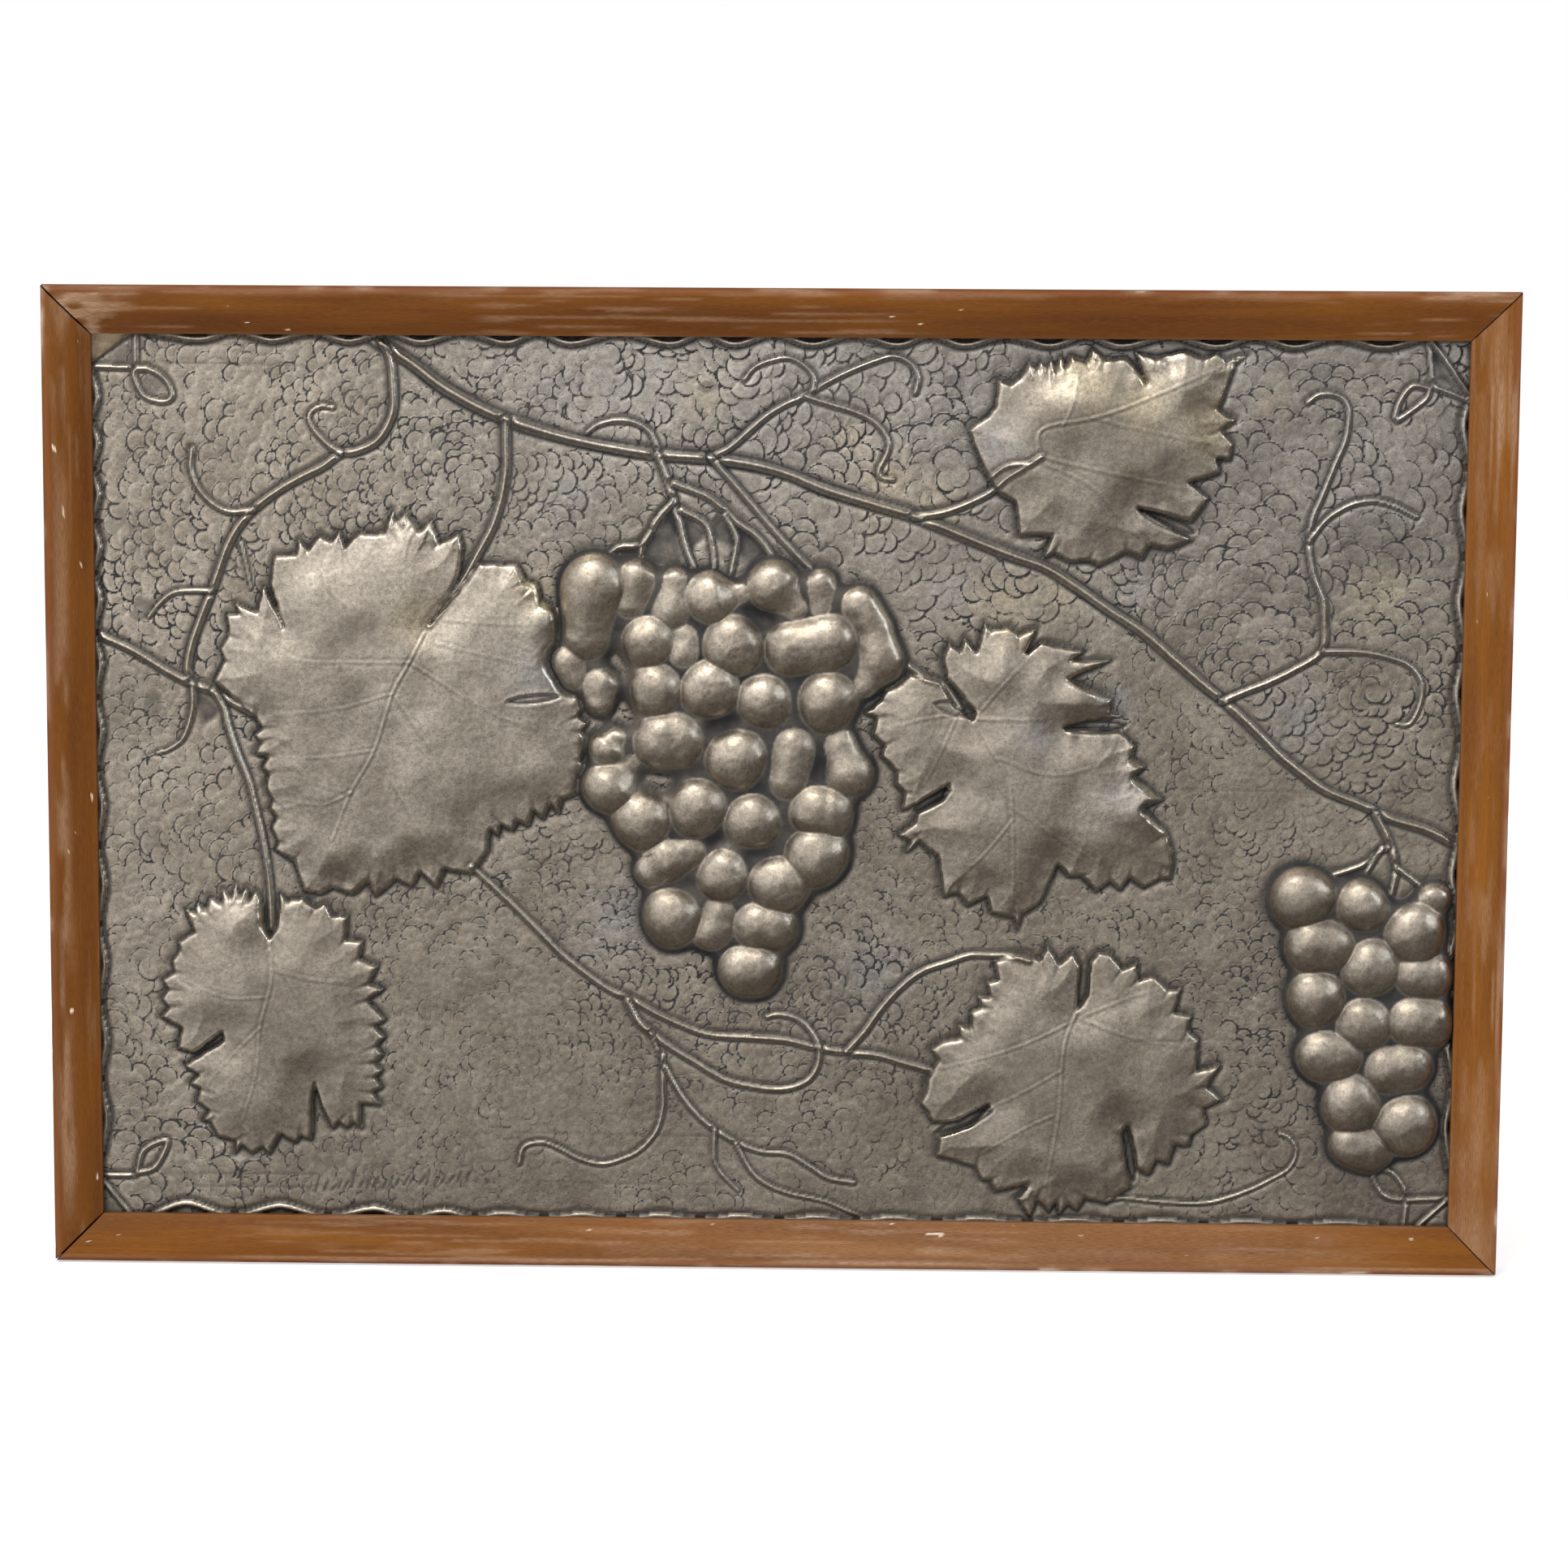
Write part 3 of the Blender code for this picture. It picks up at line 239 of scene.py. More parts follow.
# Stalks and tendrils: the half width at each end, then the x, z places they pass
STALKS = [
    (2.1, 1.6, [
        (-172, 187), (-163, 181), (-152, 174), (-140, 165), (-128, 158), (-115, 152), (-100, 147),
        (-85, 143), (-70, 140), (-50, 137), (-28, 135.5), (-10, 133), (5, 129), (20, 123), (40, 117),
        (57, 112), (75, 105), (85, 101), (98, 96), (112, 91), (125, 83), (138, 74), (152, 65), (165, 54),
        (178, 43), (188, 35), (201, 23), (210, 14), (220, 6), (230, -1), (245, -7), (258, -13), (272, -17),
        (284, -23),
    ]),
    (1.5, 1.5, [
        (-165, 184), (-161, 175), (-160, 165), (-160, 155), (-163, 147), (-168, 141), (-176, 137.5),
        (-182, 136.5), (-190, 131), (-200, 126), (-210, 120), (-219, 113), (-225, 106), (-230, 97),
        (-234, 86), (-237, 78), (-241, 68), (-245, 57), (-247, 47), (-246, 41),
    ]),
    (1.1, 0.7, [
        (-182, 137), (-187, 140), (-192, 145), (-195, 150), (-194, 154), (-190, 156), (-185, 155.5),
    ]),
    (1.2, 1.0, [(-219, 113), (-228, 112), (-235, 115), (-241, 121), (-244.5, 129), (-244, 138)]),
    (1.1, 0.7, [(-237, 79), (-245, 79), (-253, 78), (-259, 73), (-263, 68)]),
    (0.9, 0.6, [(-224, 99), (-222, 90), (-220, 80)]),
    (1.5, 1.5, [(-286, 61), (-270, 54), (-255, 45), (-245, 40), (-237, 37), (-220, 28)]),
    (1.3, 1.3, [
        (-236, 37), (-232, 30), (-230, 22), (-226, 10), (-222, 0), (-219, -12), (-216, -25), (-214, -38),
        (-213, -48), (-212.5, -63),
    ]),
    (1.2, 0.7, [(-245, 40), (-245, 30), (-247, 22), (-250, 16), (-256, 12), (-260, 11)]),
    (1.5, 1.5, [
        (-113, 151), (-113, 140), (-113, 130), (-115, 118), (-119, 106), (-125, 95), (-130, 86), (-137, 76),
        (-145, 66),
    ]),
    (1.2, 0.9, [(-50, 139), (-53, 146), (-59, 150), (-67, 151), (-75, 149), (-79, 146)]),
    (1.4, 1.0, [
        (-28, 136), (-20, 140), (-12, 147), (-5, 153), (3, 158), (10, 161), (20, 167), (30, 172), (40, 176),
        (48, 178), (55, 175), (58, 169), (57, 163),
    ]),
    (1.0, 0.8, [(14, 163), (15, 168), (12, 173), (5, 177), (-3, 176), (-10, 173), (-14, 168)]),
    (1.1, 0.9, [
        (12, 161), (22, 158), (32, 155), (40, 151), (45, 145), (46, 140), (44, 135), (42, 131), (43, 128),
        (48, 127),
    ]),
    (1.5, 1.3, [(57, 112), (68, 113.5), (78, 117), (88, 122), (95, 128), (103, 133), (109, 137)]),
    (1.4, 1.2, [(-50, 137), (-45, 124), (-41, 110), (-38, 98), (-33, 86)]),
    (1.3, 1.2, [(-43, 118), (-50, 110), (-56, 100), (-67, 98), (-73, 90)]),
    (1.1, 1.0, [(-53, 105), (-56, 100), (-57, 93)]),
    (1.4, 1.2, [(-43, 125), (-28, 119), (-18, 110), (-8, 103), (0, 92)]),
    (1.2, 1.0, [(-40, 114), (-30, 108), (-27, 98), (-26, 88)]),
    (1.0, 1.0, [(-22, 112), (-17, 102), (-19, 88)]),
    (1.3, 1.3, [(-28, 136), (-18, 125), (-5, 110), (5, 99), (15, 89)]),
    (1.4, 1.0, [
        (186, 36), (195, 40), (205, 44), (215, 49), (225, 55), (228, 60), (228, 68), (227, 78), (223, 88),
        (221, 98), (221, 103), (222, 112), (226, 122), (231, 135), (235, 145), (236, 155), (234, 161),
        (229, 163.5), (223, 163), (219, 160),
    ]),
    (1.1, 0.8, [(221, 103), (228, 112), (238, 118), (248, 119.5), (257, 117), (265, 113)]),
    (1.1, 0.8, [(228, 57), (242, 57), (254, 55), (264, 51), (269, 43), (268, 34), (264, 27), (259, 27)]),
    (1.4, 1.2, [(251, -11), (257, -23), (260, -34), (258, -46)]),
    (1.2, 1.1, [(256, -25), (251, -28), (247, -32), (230, -38)]),
    (1.1, 0.9, [(248, -35), (251, -30), (254, -25)]),
    (1.1, 0.9, [(260, -33), (265, -37), (272, -42)]),
    (1.1, 1.4, [
        (-128, -36), (-113, -50), (-99, -64), (-90, -73), (-80, -81), (-70, -88), (-61, -92), (-50, -98),
        (-39, -103), (-27, -107), (-10, -108), (5, -109), (18, -112), (31, -114), (43, -115), (54, -118),
        (65, -121),
    ]),
    (1.4, 1.0, [
        (-62, -93), (-58, -101), (-53, -106), (-43, -113), (-33, -119), (-21, -126), (-9, -129), (3, -130),
        (13, -127), (18, -121), (19, -113), (16, -106), (10, -100), (2, -98), (-3, -99),
    ]),
    (1.4, 1.2, [
        (31, -113), (38, -105), (45, -95), (53, -86), (62, -79), (73, -75), (82, -72), (90, -72),
        (100, -72), (107, -74),
    ]),
    (0.9, 0.7, [(-52, -107), (-49, -115), (-45, -123)]),
    (1.0, 0.8, [
        (-47, -116), (-47, -130), (-47, -139), (-50, -149), (-57, -157), (-65, -161), (-73, -163),
        (-82, -161), (-90, -157), (-98, -154), (-106, -156), (-108, -163),
    ]),
    (1.1, 0.9, [
        (-46, -121), (-43, -127), (-38, -135), (-31, -143), (-23, -149), (-14, -154), (-5, -157), (6, -158),
        (15, -163), (23, -168), (34, -170),
    ]),
    (0.9, 0.6, [(-25, -148), (-25, -161), (-22, -167), (-15, -174)]),
    (0.9, 0.7, [(-16, -154), (-10, -165), (-3, -171), (7, -175), (21, -178), (31, -182), (38, -185)]),
    (0.8, 0.7, [
        (142, -176), (149, -175.5), (165, -177), (184, -177), (200, -172), (210, -167), (218, -162),
        (221, -155), (218, -149), (214, -147),
    ]),
    (1.4, 1.2, [(52, 52), (62, 45), (70, 42), (77, 32)]),
    (1.0, 1.0, [(88, 128), (95, 133), (105, 134)]),
]

# Strokes of the small corner ornaments
CORNER_STROKES = [
    [(-267, 187), (-267, 173)],
    [(-286, 172), (-270, 171.5)],
    [(-286, 174.5), (-270, 186)],
    [
        (-267, 171), (-262, 171), (-255, 167), (-252, 160), (-256, 157.5), (-264, 160), (-268, 168),
        (-267, 171),
    ],
    [(268, 187), (270, 169)],
    [(269, 186), (286, 163)],
    [(270, 167), (286, 161)],
    [(269, 166), (262, 167), (257, 161), (255, 154), (256, 153), (262, 157), (268, 162), (269, 166)],
    [(-286, -170), (-272, -170)],
    [(-286, -172), (-274, -187)],
    [(-271, -169), (-268, -159), (-258, -155), (-263, -166), (-271, -169)],
    [
        (268, -174), (266, -169), (261, -163), (254, -162), (254, -167), (258, -173), (265, -175),
        (268, -174),
    ],
    [(268, -175), (267, -187)],
    [(269, -175), (286, -174)],
    [(286, -174), (272, -187)],
]

# Bends of the waved border, x along the top and the bottom, z at the left and right. At the first and the
# last place of each side the ridge goes under the lip
TOP_BENDS = (-262, -241, -210, -178, -148, -113, -86, -45, -18, 14, 49, 77, 112, 142, 181, 213, 249, 266)
BOTTOM_BENDS = (-265, -250, -210, -170, -140, -115, -81, -48, -14, 19, 51, 88, 128, 165, 200, 240, 257)
LEFT_BENDS = (-160, -145, -112, -79, -45, -12, 20, 48, 75, 97, 119, 140, 159, 171)
RIGHT_BENDS = (-162, -143, -108, -72, -36, 2, 40, 78, 116, 151, 164)

# What lies over the ground at a place, as it is kept in the covered field
LEAF = 1
GRAPE = 2

# Noise comes from a square table of random knots, read far enough from its corner to stay positive
KNOTS = 256
KNOT_START = 500.5

# Distance given to places that the search round a line or outline doesn't reach
FAR = 1e3

# The ground's scales: places tried, how close two may lie, and how strong the line at each edge is
SCALE_TRIES = 60000
SCALE_SPACING = 0.98
LINE_POWERS = np.random.default_rng(9).beta(0.9, 1.0, 997) * 1.3

# How much a dome and the mound run into each other, and how dark their creases can be
MELT = 1.8
DARKEST = 0.94

# The recess beside raised forms: how wide it is and how deep
LEAF_RECESS, GRAPE_RECESS, BORDER_RECESS = 1.9, 2.4, 1.6
RECESS_DEPTH, GRAPE_RECESS_DEPTH = 0.6, 0.7

# Grooves: width, depth and darkness. A scratch has its own darkness
NOTCH_FOLD = (0.75, 0.45, 0.45)
STROKE = (0.5, 0.25, 0.75)
SCRATCH = (0.35, 0.08)

# The corner ornaments' strokes: their half width. The border's ridge: its half width, and how far under
# the lip its ends and valleys lie
CORNER_RADIUS = 1.0
RIDGE = 1.5
UNDER_EDGE = 1.6

# The row of strokes: how many, which are tall, and where the first one stands
STROKES = 21
TALL_STROKES = (0, 5, 15)
STROKES_X = -195.0
STROKES_Z = -176.0

# Scratches, as two ends and a darkness, and stains, as x, z, half width and half height. The spots in the
# corner ornaments are painted shade
SCRATCHES = (
    ((-252, -169), (-194, -168.6), 0.5), ((-250, -174), (-196, -174.5), 0.45),
    ((150, -107), (232, -107.5), 0.35), ((168, -1), (232, -2), 0.3), ((-262, 174), (-200, 173), 0.3),
    ((-100, -171), (-20, -171.4), 0.25), ((-60, 91), (-20, 90.6), 0.2), ((-110, -150), (10, -150.5), 0.25),
)
STAINS_AND_PAINTED_SHADE = (
    (-262, 32, 4, 6), (-266, 72, 4.5, 5), (-30, 165, 5, 2.2), (5, 163, 4, 3), (73, 168, 4, 3),
    (-182, 47, 1, 1.2), (-273, 177, 6, 4.5), (-260, 165, 5, 4.5), (-281.5, -182, 5, 5),
)

# The relief stays this low under the frame's lip, and is nowhere deeper than this
LIP_HEIGHT = 1.4
DEEPEST = -1.0

# A stalk's height as a share of its half width, and how bright stalks and the border are rubbed
STALK_HEIGHT = 0.85
STALK_POLISH = 0.70
BORDER_POLISH = 0.95

# Rails: rows this far apart, the first and last ones this close to the mitres, edges sharper than this
# stay sharp, and the face reaches this far down from the front, in this many steps
ROW_STEP = 2.6
END_ROW = 0.4
SHARP_EDGE = math.radians(38)
FACE_REACH = 7.9
FACE_STEPS = 18

# Depths off the wall between which an open mitre goes from nearly shut to open, and the depth where
# the face gives way to the sides. The material reads the sides as far in, past all the face's bands
MITRE_SHUT, MITRE_OPEN = 13.0, 17.5
SIDE_DEPTH = 12.0
SIDE_INWARD = 25.0

# How far apart the rails lie in the grain
GRAIN_ALONG, GRAIN_ACROSS = 900.0, 40.0


def grid_lines(half):
    """Places across the sheet: a fine grid in the opening, and a coarse one under the frame's lip."""
    inner = np.linspace(-half, half, round(2 * half / GRID_STEP) + 1)
    rim = np.array([UNDER_LIP / 2, UNDER_LIP])
    return np.concatenate([-half - rim[::-1], inner, half + rim])


LINES_X = grid_lines(SIGHT_X)
LINES_Z = grid_lines(SIGHT_Z)
X, Z = np.meshgrid(LINES_X, LINES_Z)


def window(low_x, high_x, low_z, high_z, margin=0.0):
    """The part of the grid between these places, with a margin round them."""
    return (
        slice(*np.searchsorted(LINES_Z, (low_z - margin, high_z + margin))),
        slice(*np.searchsorted(LINES_X, (low_x - margin, high_x + margin))),
    )


def smooth(low, high, value):
    """0 below low, 1 above high, and an even curve between."""
    share = np.clip((value - low) / (high - low), 0, 1)
    return share * share * (3 - 2 * share)


def bell(value, width):
    """1 where the value is 0, falling evenly to nearly 0 at twice the width on both sides."""
    return np.exp(-(value / width) ** 2)


def noise(scale, seed, x=None, z=None):
    """Smooth noise from -1 to 1 with lumps about this many millimetres wide."""
    x = X if x is None else x
    z = Z if z is None else z
    across, up = np.asarray(x) / scale + KNOT_START, np.asarray(z) / scale + KNOT_START
    column, row = np.floor(across).astype(int), np.floor(up).astype(int)
    table = np.random.default_rng(seed).uniform(-1, 1, (KNOTS, KNOTS))
    s, t = smooth(0, 1, across - column), smooth(0, 1, up - row)

    def knot(add_row, add_column):
        return table[(row + add_row) % KNOTS, (column + add_column) % KNOTS]

    low = knot(0, 0) * (1 - s) + knot(0, 1) * s
    high = knot(1, 0) * (1 - s) + knot(1, 1) * s
    return low * (1 - t) + high * t


def rough_noise(scale, seed, x=None, z=None):
    """Noise of three sizes together."""
    return (
        noise(scale, seed, x, z) + 0.5 * noise(scale / 2, seed + 1, x, z)
        + 0.25 * noise(scale / 4, seed + 2, x, z)
    ) / 1.75


def line_noise(scale, seed, along):
    """Noise along a line."""
    return noise(scale, seed, along, np.zeros(along.shape))


def blurred(field, reach):
    """The field averaged over a square of grid places, reach to each side."""
    for axis in (0, 1):
        pad = [(0, 0), (0, 0)]
        pad[axis] = (reach + 1, reach)
        total = np.cumsum(np.pad(field, pad, mode="edge"), axis=axis)
        size = field.shape[axis]
        field = (
            np.take(total, range(2 * reach + 1, 2 * reach + 1 + size), axis=axis)
            - np.take(total, range(size), axis=axis)
        ) / (2 * reach + 1)
    return field


def smooth_route(corners, step=1.5):
    """Places along a smooth curve through the corners."""
    path = [Vector(corner) for corner in corners]
    path = [2 * path[0] - path[1], *path, 2 * path[-1] - path[-2]]
    places = []
    for before, start, end, after in zip(path, path[1:], path[2:], path[3:]):
        spans = max(1, round((end - start).length / step))
        for index in range(spans):
            t = index / spans
            places.append(
                0.5 * (2 * start + (end - before) * t
                       + (2 * before - 5 * start + 4 * end - after) * t**2
                       + (3 * start - before - 3 * end + after) * t**3)
            )
    places.append(path[-2])
    return [tuple(place) for place in places]


def near_line(route, margin):
    """Distance from the line, millimetres along it, side of it, and its length, for places near it."""
    distance = np.full(X.shape, FAR)
    along = np.zeros(X.shape)
    side = np.zeros(X.shape)
    passed = 0.0
    for (ax, az), (bx, bz) in zip(route, route[1:]):
        length = math.hypot(bx - ax, bz - az)
        if length < 1e-6:
            continue
        part = window(min(ax, bx), max(ax, bx), min(az, bz), max(az, bz), margin)
        x, z = X[part] - ax, Z[part] - az
        dx, dz = (bx - ax) / length, (bz - az) / length
        t = np.clip(x * dx + z * dz, 0, length)
        gap = np.hypot(x - t * dx, z - t * dz)
        closer = gap < distance[part]
        distance[part] = np.where(closer, gap, distance[part])
        along[part] = np.where(closer, passed + t, along[part])
        side[part] = np.where(closer, np.sign(x * dz - z * dx), side[part])
        passed += length
    return distance, along, side, passed


def tooth_jitter(index):
    """How far a notch is off the middle between its teeth, as a share of their distance."""
    return 0.17 * math.sin(12.9898 * index * index + 4.1 * index)


def toothed_outline(corners):
    """A leaf's margin as places, and each notch between its teeth: its place, way inward and depth."""
    outline, notches = [], []
    for (x, z, *toothed), (end_x, end_z, *_) in zip(corners, corners[1:] + corners[:1]):
        teeth, depth = toothed or (0, 0)
        run = Vector((end_x - x, end_z - z))
        inward = Vector((-run.y, run.x)).normalized()
        outline.append((x, z))
        for tooth in range(teeth):
            if tooth:
                outline.append(tuple(Vector((x, z)) + run * (tooth / teeth)))
            share = (tooth + 0.5 + tooth_jitter(len(outline))) / teeth
            deeper = 1 + 1.4 * tooth_jitter(len(outline) + 7)
            notch = Vector((x, z)) + run * share + inward * depth * deeper
            outline.append(tuple(notch))
            notches.append((tuple(notch), tuple(inward), depth))
    return outline, notches


def inside_distance(outline, margin):
    """The part of the grid round a closed outline, distance from it, positive inside, and way along it."""
    places = np.array(outline)
    (low_x, low_z), (high_x, high_z) = places.min(axis=0), places.max(axis=0)
    part = window(low_x, high_x, low_z, high_z, margin)
    x, z = X[part], Z[part]
    nearest = np.full(x.shape, FAR**2)
    along = np.zeros(x.shape)
    inside = np.zeros(x.shape, bool)
    passed = 0.0
    for (ax, az), (bx, bz) in zip(places, np.roll(places, -1, axis=0)):
        dx, dz = bx - ax, bz - az
        t = np.clip(((x - ax) * dx + (z - az) * dz) / (dx * dx + dz * dz), 0, 1)
        gap = (x - ax - t * dx) ** 2 + (z - az - t * dz) ** 2
        closer = gap < nearest
        nearest = np.where(closer, gap, nearest)
        along = np.where(closer, passed + t * math.hypot(dx, dz), along)
        if az != bz:
            inside ^= ((az > z) != (bz > z)) & (x < dx * (z - az) / dz + ax)
        passed += math.hypot(dx, dz)
    return part, np.where(inside, 1, -1) * np.sqrt(nearest), along


def spots(places):
    """1 at the middle of each of these x, z, reach places, and falling to 0 round them."""
    field = np.zeros(X.shape)
    for x, z, reach in places:
        part = window(x, x, z, z, 2.5 * reach)
        away = np.hypot(X[part] - x, Z[part] - z) / reach
        field[part] = np.maximum(field[part], bell(away, 1))
    return field


# The sheet's fields. Height stands forward of its front, dark is the patina's depth together with painted
# shade, and polish_and_painted_highlights is how far it is rubbed bright together with painted highlights.
# Crown is the height of the bare leaves, under what is laid on them
height, dark, polish_and_painted_highlights, crown, covered, line_share, leaf_tone = (np.zeros(X.shape) for _ in range(7))
# Inset is how far a place is inside its scale's edge, and line_share how dark that edge's line is
inset = np.full(X.shape, 3.0)


def engrave(route, width, depth, darkness, fade=False, leaves_only=False):
    """A shallow groove along a line. It can fade along the line, and be kept to the leaves."""
    distance, along, _, length = near_line(route, width * 4)
    groove = bell(distance, width)
    if fade:
        groove = groove * (1 - np.clip(along / length, 0, 1))
    if leaves_only:
        groove = groove * (covered > 0)
    height[:] -= depth * groove
    dark[:] = np.maximum(dark, darkness * groove)


def large_share(x, z):
    """1 towards the upper right, where the scales are largest."""
    return smooth(-20, 120, z) * smooth(-170, 60, x)


def flow_level(x, z):
    """The scales lie in rows across the slope of this level, each row over the one before it."""
    return (
        46 * noise(82, 31, x, z) + 11 * noise(30, 32, x, z)
        - 0.55 * x * smooth(-120, -220, x) + 0.30 * z + 0.25 * x * smooth(-20, 60, x)
    )


def vine_level(x):
    """The height of the main vine at each x."""
    route = np.array(STALKS[0][2])
    return np.interp(x, route[:, 0], route[:, 1])


def scatter_scales():
    """Where the scales lie, how wide each is, and how hard it is struck. None crowds another."""
    x = random.uniform(-SIGHT_X - 4, SIGHT_X + 4, SCALE_TRIES)
    z = random.uniform(-SIGHT_Z - 4, SIGHT_Z + 4, SCALE_TRIES)
    large = large_share(x, z)
    left = smooth(-170, -240, x)
    radius = 3.5 + 2.0 * large + 0.9 * left + 0.5 * rough_noise(50, 21, x, z)
    radius *= random.uniform(0.8, 1.25, SCALE_TRIES)
    kept = np.zeros(SCALE_TRIES, bool)
    kept_x, kept_z, count = np.empty(SCALE_TRIES), np.empty(SCALE_TRIES), 0
    for index in range(SCALE_TRIES):
        away = np.hypot(kept_x[:count] - x[index], kept_z[:count] - z[index])
        if count and away.min() < SCALE_SPACING * radius[index]:
            continue
        kept[index] = True
        kept_x[count], kept_z[count] = x[index], z[index]
        count += 1
    x, z, radius, large, left = (values[kept] for values in (x, z, radius, large, left))
    below = vine_level(x) - z
    below_vine = smooth(0, 8, below) * smooth(44, 18, below) * smooth(30, 60, x)
    strength = 0.75 + 0.40 * large + 0.2 * left + 0.35 * noise(60, 41, x, z)
    strength *= (1 - 0.30 * smooth(-105, -150, z) * (1 - 0.6 * left)) * (1 - 0.4 * below_vine)
    return x, z, radius, np.clip(strength, 0.2, 1.25)


def set_ground():
    """The ground: overlapping scales struck with a curved tool, in flowing rows."""
    height[:] = (0.40 + 0.45 * large_share(X, Z)) * rough_noise(34, 11)
    base = height.copy()
    x, z, radius, strength = scatter_scales()
    level = flow_level(x, z)
    slope_x = flow_level(x + 1, z) - flow_level(x - 1, z)
    slope_z = flow_level(x, z + 1) - flow_level(x, z - 1)
    flow = np.arctan2(slope_z, slope_x) + random.normal(0, 0.25, len(x))
    steep = np.hypot(slope_x, slope_z) / 2
    order = np.argsort(-level + steep * random.normal(0, 0.8, len(x)))
    for index in order:
        cx, cz, size, power = x[index], z[index], radius[index], strength[index]
        part = window(cx, cx, cz, cz, size * 1.4)
        if not X[part].size or covered[part].min() > 0.5:
            continue
        cosine, sine = math.cos(flow[index]), math.sin(flow[index])
        px, pz = X[part] - cx, Z[part] - cz
        u, v = (px * cosine + pz * sine) / (size * 0.92), (pz * cosine - px * sine) / (size * 1.1)
        e = np.hypot(u, v)
        line_power = LINE_POWERS[index % len(LINE_POWERS)]
        shape = base[part] + power * (0.07 * (1 - e**2) + (0.05 + 0.055 * line_power) * u)
        rim = smooth(-0.55, 0.25, u / np.maximum(e, 1e-3))
        weight = smooth(1.05, 0.96, e)
        height[part] = height[part] * (1 - weight) + shape * weight
        groove = bell((e - 1.03) * size, 0.45) * rim
        height[part] -= 0.13 * power * groove * line_power
        struck = e < 1
        inset[part] = np.where(struck, (1 - e) * size, inset[part])
        line_share[part] = np.where(struck, min(1.0, power * line_power) * rim, line_share[part])
        # each scale is brighter towards its rim: rubbed metal, and a painted glint
        polish_and_painted_highlights[part] = polish_and_painted_highlights[part] * (1 - weight) + weight * power * smooth(0.2, 0.95, e) * rim * 0.55


def leaf_surface(name, outline, part, distance, along, curl):
    """A leaf's height inside its margin: a low dome with swellings, folds and curls."""
    places = np.array(outline)
    low, high = places.min(axis=0), places.max(axis=0)
    centre, half = (low + high) / 2, LEAF_SPREAD * (high - low) / 2
    x, z = X[part], Z[part]
    share = ((x - centre[0]) / half[0]) ** 2 + ((z - centre[1]) / half[1]) ** 2
    rise = LEAF_CROWN * np.sqrt(np.clip(1 - share, 0, None))
    seed = 100 + len(name)
    life = LIVELY.get(name, 1.0)
    rim_width = (1.7 + 0.6 * line_noise(9, seed, along)) * (1 + 1.1 * curl)
    rim = np.sqrt(1 - (1 - np.clip(distance / rim_width, 0, 1)) ** 2)
    surface = rise * rim * (0.62 + 0.38 * smooth(0, 18, distance))
    uneven = 1.3 * rough_noise(38, seed + 3)[part] + 0.45 * noise(13, seed + 5)[part]
    surface += life * rim * uneven * smooth(0, 14, distance)
    for bump_x, bump_z, reach, tall in SWELLINGS:
        away = np.hypot(x - bump_x, z - bump_z) / reach
        surface += tall * rim * bell(away, 1) * smooth(0, 3, distance)
    folds = line_noise(4.2, seed + 7, along) * bell(distance - 2.5, 5)
    surface += life * (0.30 + 1.1 * curl) * folds * smooth(0.4, 2.0, distance)
    surface += 0.45 * curl * noise(8, seed + 15)[part] * smooth(1, 5, distance)
    return surface


def add_leaf(name):
    """One leaf with its toothed margin, the dark recess round it, and its notches and veins."""
    outline, notches = toothed_outline(LEAVES[name])
    part, distance, along = inside_distance(outline, 9)
    leaf_tone[part] = np.where(distance > 0, LEAF_TONES.get(name, 0.0), leaf_tone[part])
    distance = distance + 0.28 * noise(2.6, 97)[part] + 0.25 * noise(6, 98)[part]
    curl = spots(CURLS)[part]
    surface = leaf_surface(name, outline, part, distance, along, curl)
    seed = 100 + len(name)
    within = distance > 0
    gap = np.clip(-distance, 0, None)
    recess = bell(gap, LEAF_RECESS)
    varied = np.clip(0.72 + 0.35 * noise(9, seed + 11)[part], 0.3, 1)
    lowered = height[part] * (1 - recess) - RECESS_DEPTH * recess
    height[part] = np.where(within, np.maximum(surface, -0.3), lowered)
    crown[part] = np.where(within, surface, crown[part])
    shaded = np.maximum(dark[part], varied * bell(gap, 1.15))
    dark[part] = np.where(within, 0.30 * bell(distance, 0.5), shaded)
    # rubbed bright at the rim, with a painted shine where the leaf curls
    leaf_rubbed_and_painted_shine = 0.40 + 0.40 * rough_noise(42, seed + 9)[part] + 0.45 * bell(distance - 1.3, 1.2) + 0.45 * curl
    polish_and_painted_highlights[part] = np.where(within, leaf_rubbed_and_painted_shine * LIVELY.get(name, 1.0), polish_and_painted_highlights[part] * (1 - recess))
    covered[part] = np.where(within, LEAF, covered[part])
    for (x, z), (dx, dz), depth in notches:
        if depth < 1.5:
            continue
        turn = random.normal(0, 0.35)
        cosine, sine = math.cos(turn), math.sin(turn)
        dx, dz = dx * cosine - dz * sine, dx * sine + dz * cosine
        length = random.uniform(4, 9)
        fold = [(x, z), (x + dx * length, z + dz * length)]
        engrave(fold, *NOTCH_FOLD, fade=True, leaves_only=True)
    for index, vein in enumerate(VEINS[name]):
        add_vein(smooth_route(vein), VEIN_POWERS[min(index, 3)])


def add_vein(route, power):
    """A fine raised vein with a groove on each side, dark on the one away from the light."""
    distance, along, side, length = near_line(route, 5)
    taper = power * (1 - 0.55 * along / length)
    ridge = bell(distance, 0.50)
    groove = bell(distance - 1.25, 0.55)
    inside = covered > 0
    height[:] += inside * taper * (0.48 * ridge - 0.26 * groove)
    polish_and_painted_highlights[:] += inside * taper * 0.30 * ridge
    dark[:] = np.maximum(dark, inside * taper * 0.35 * groove * (side > 0))


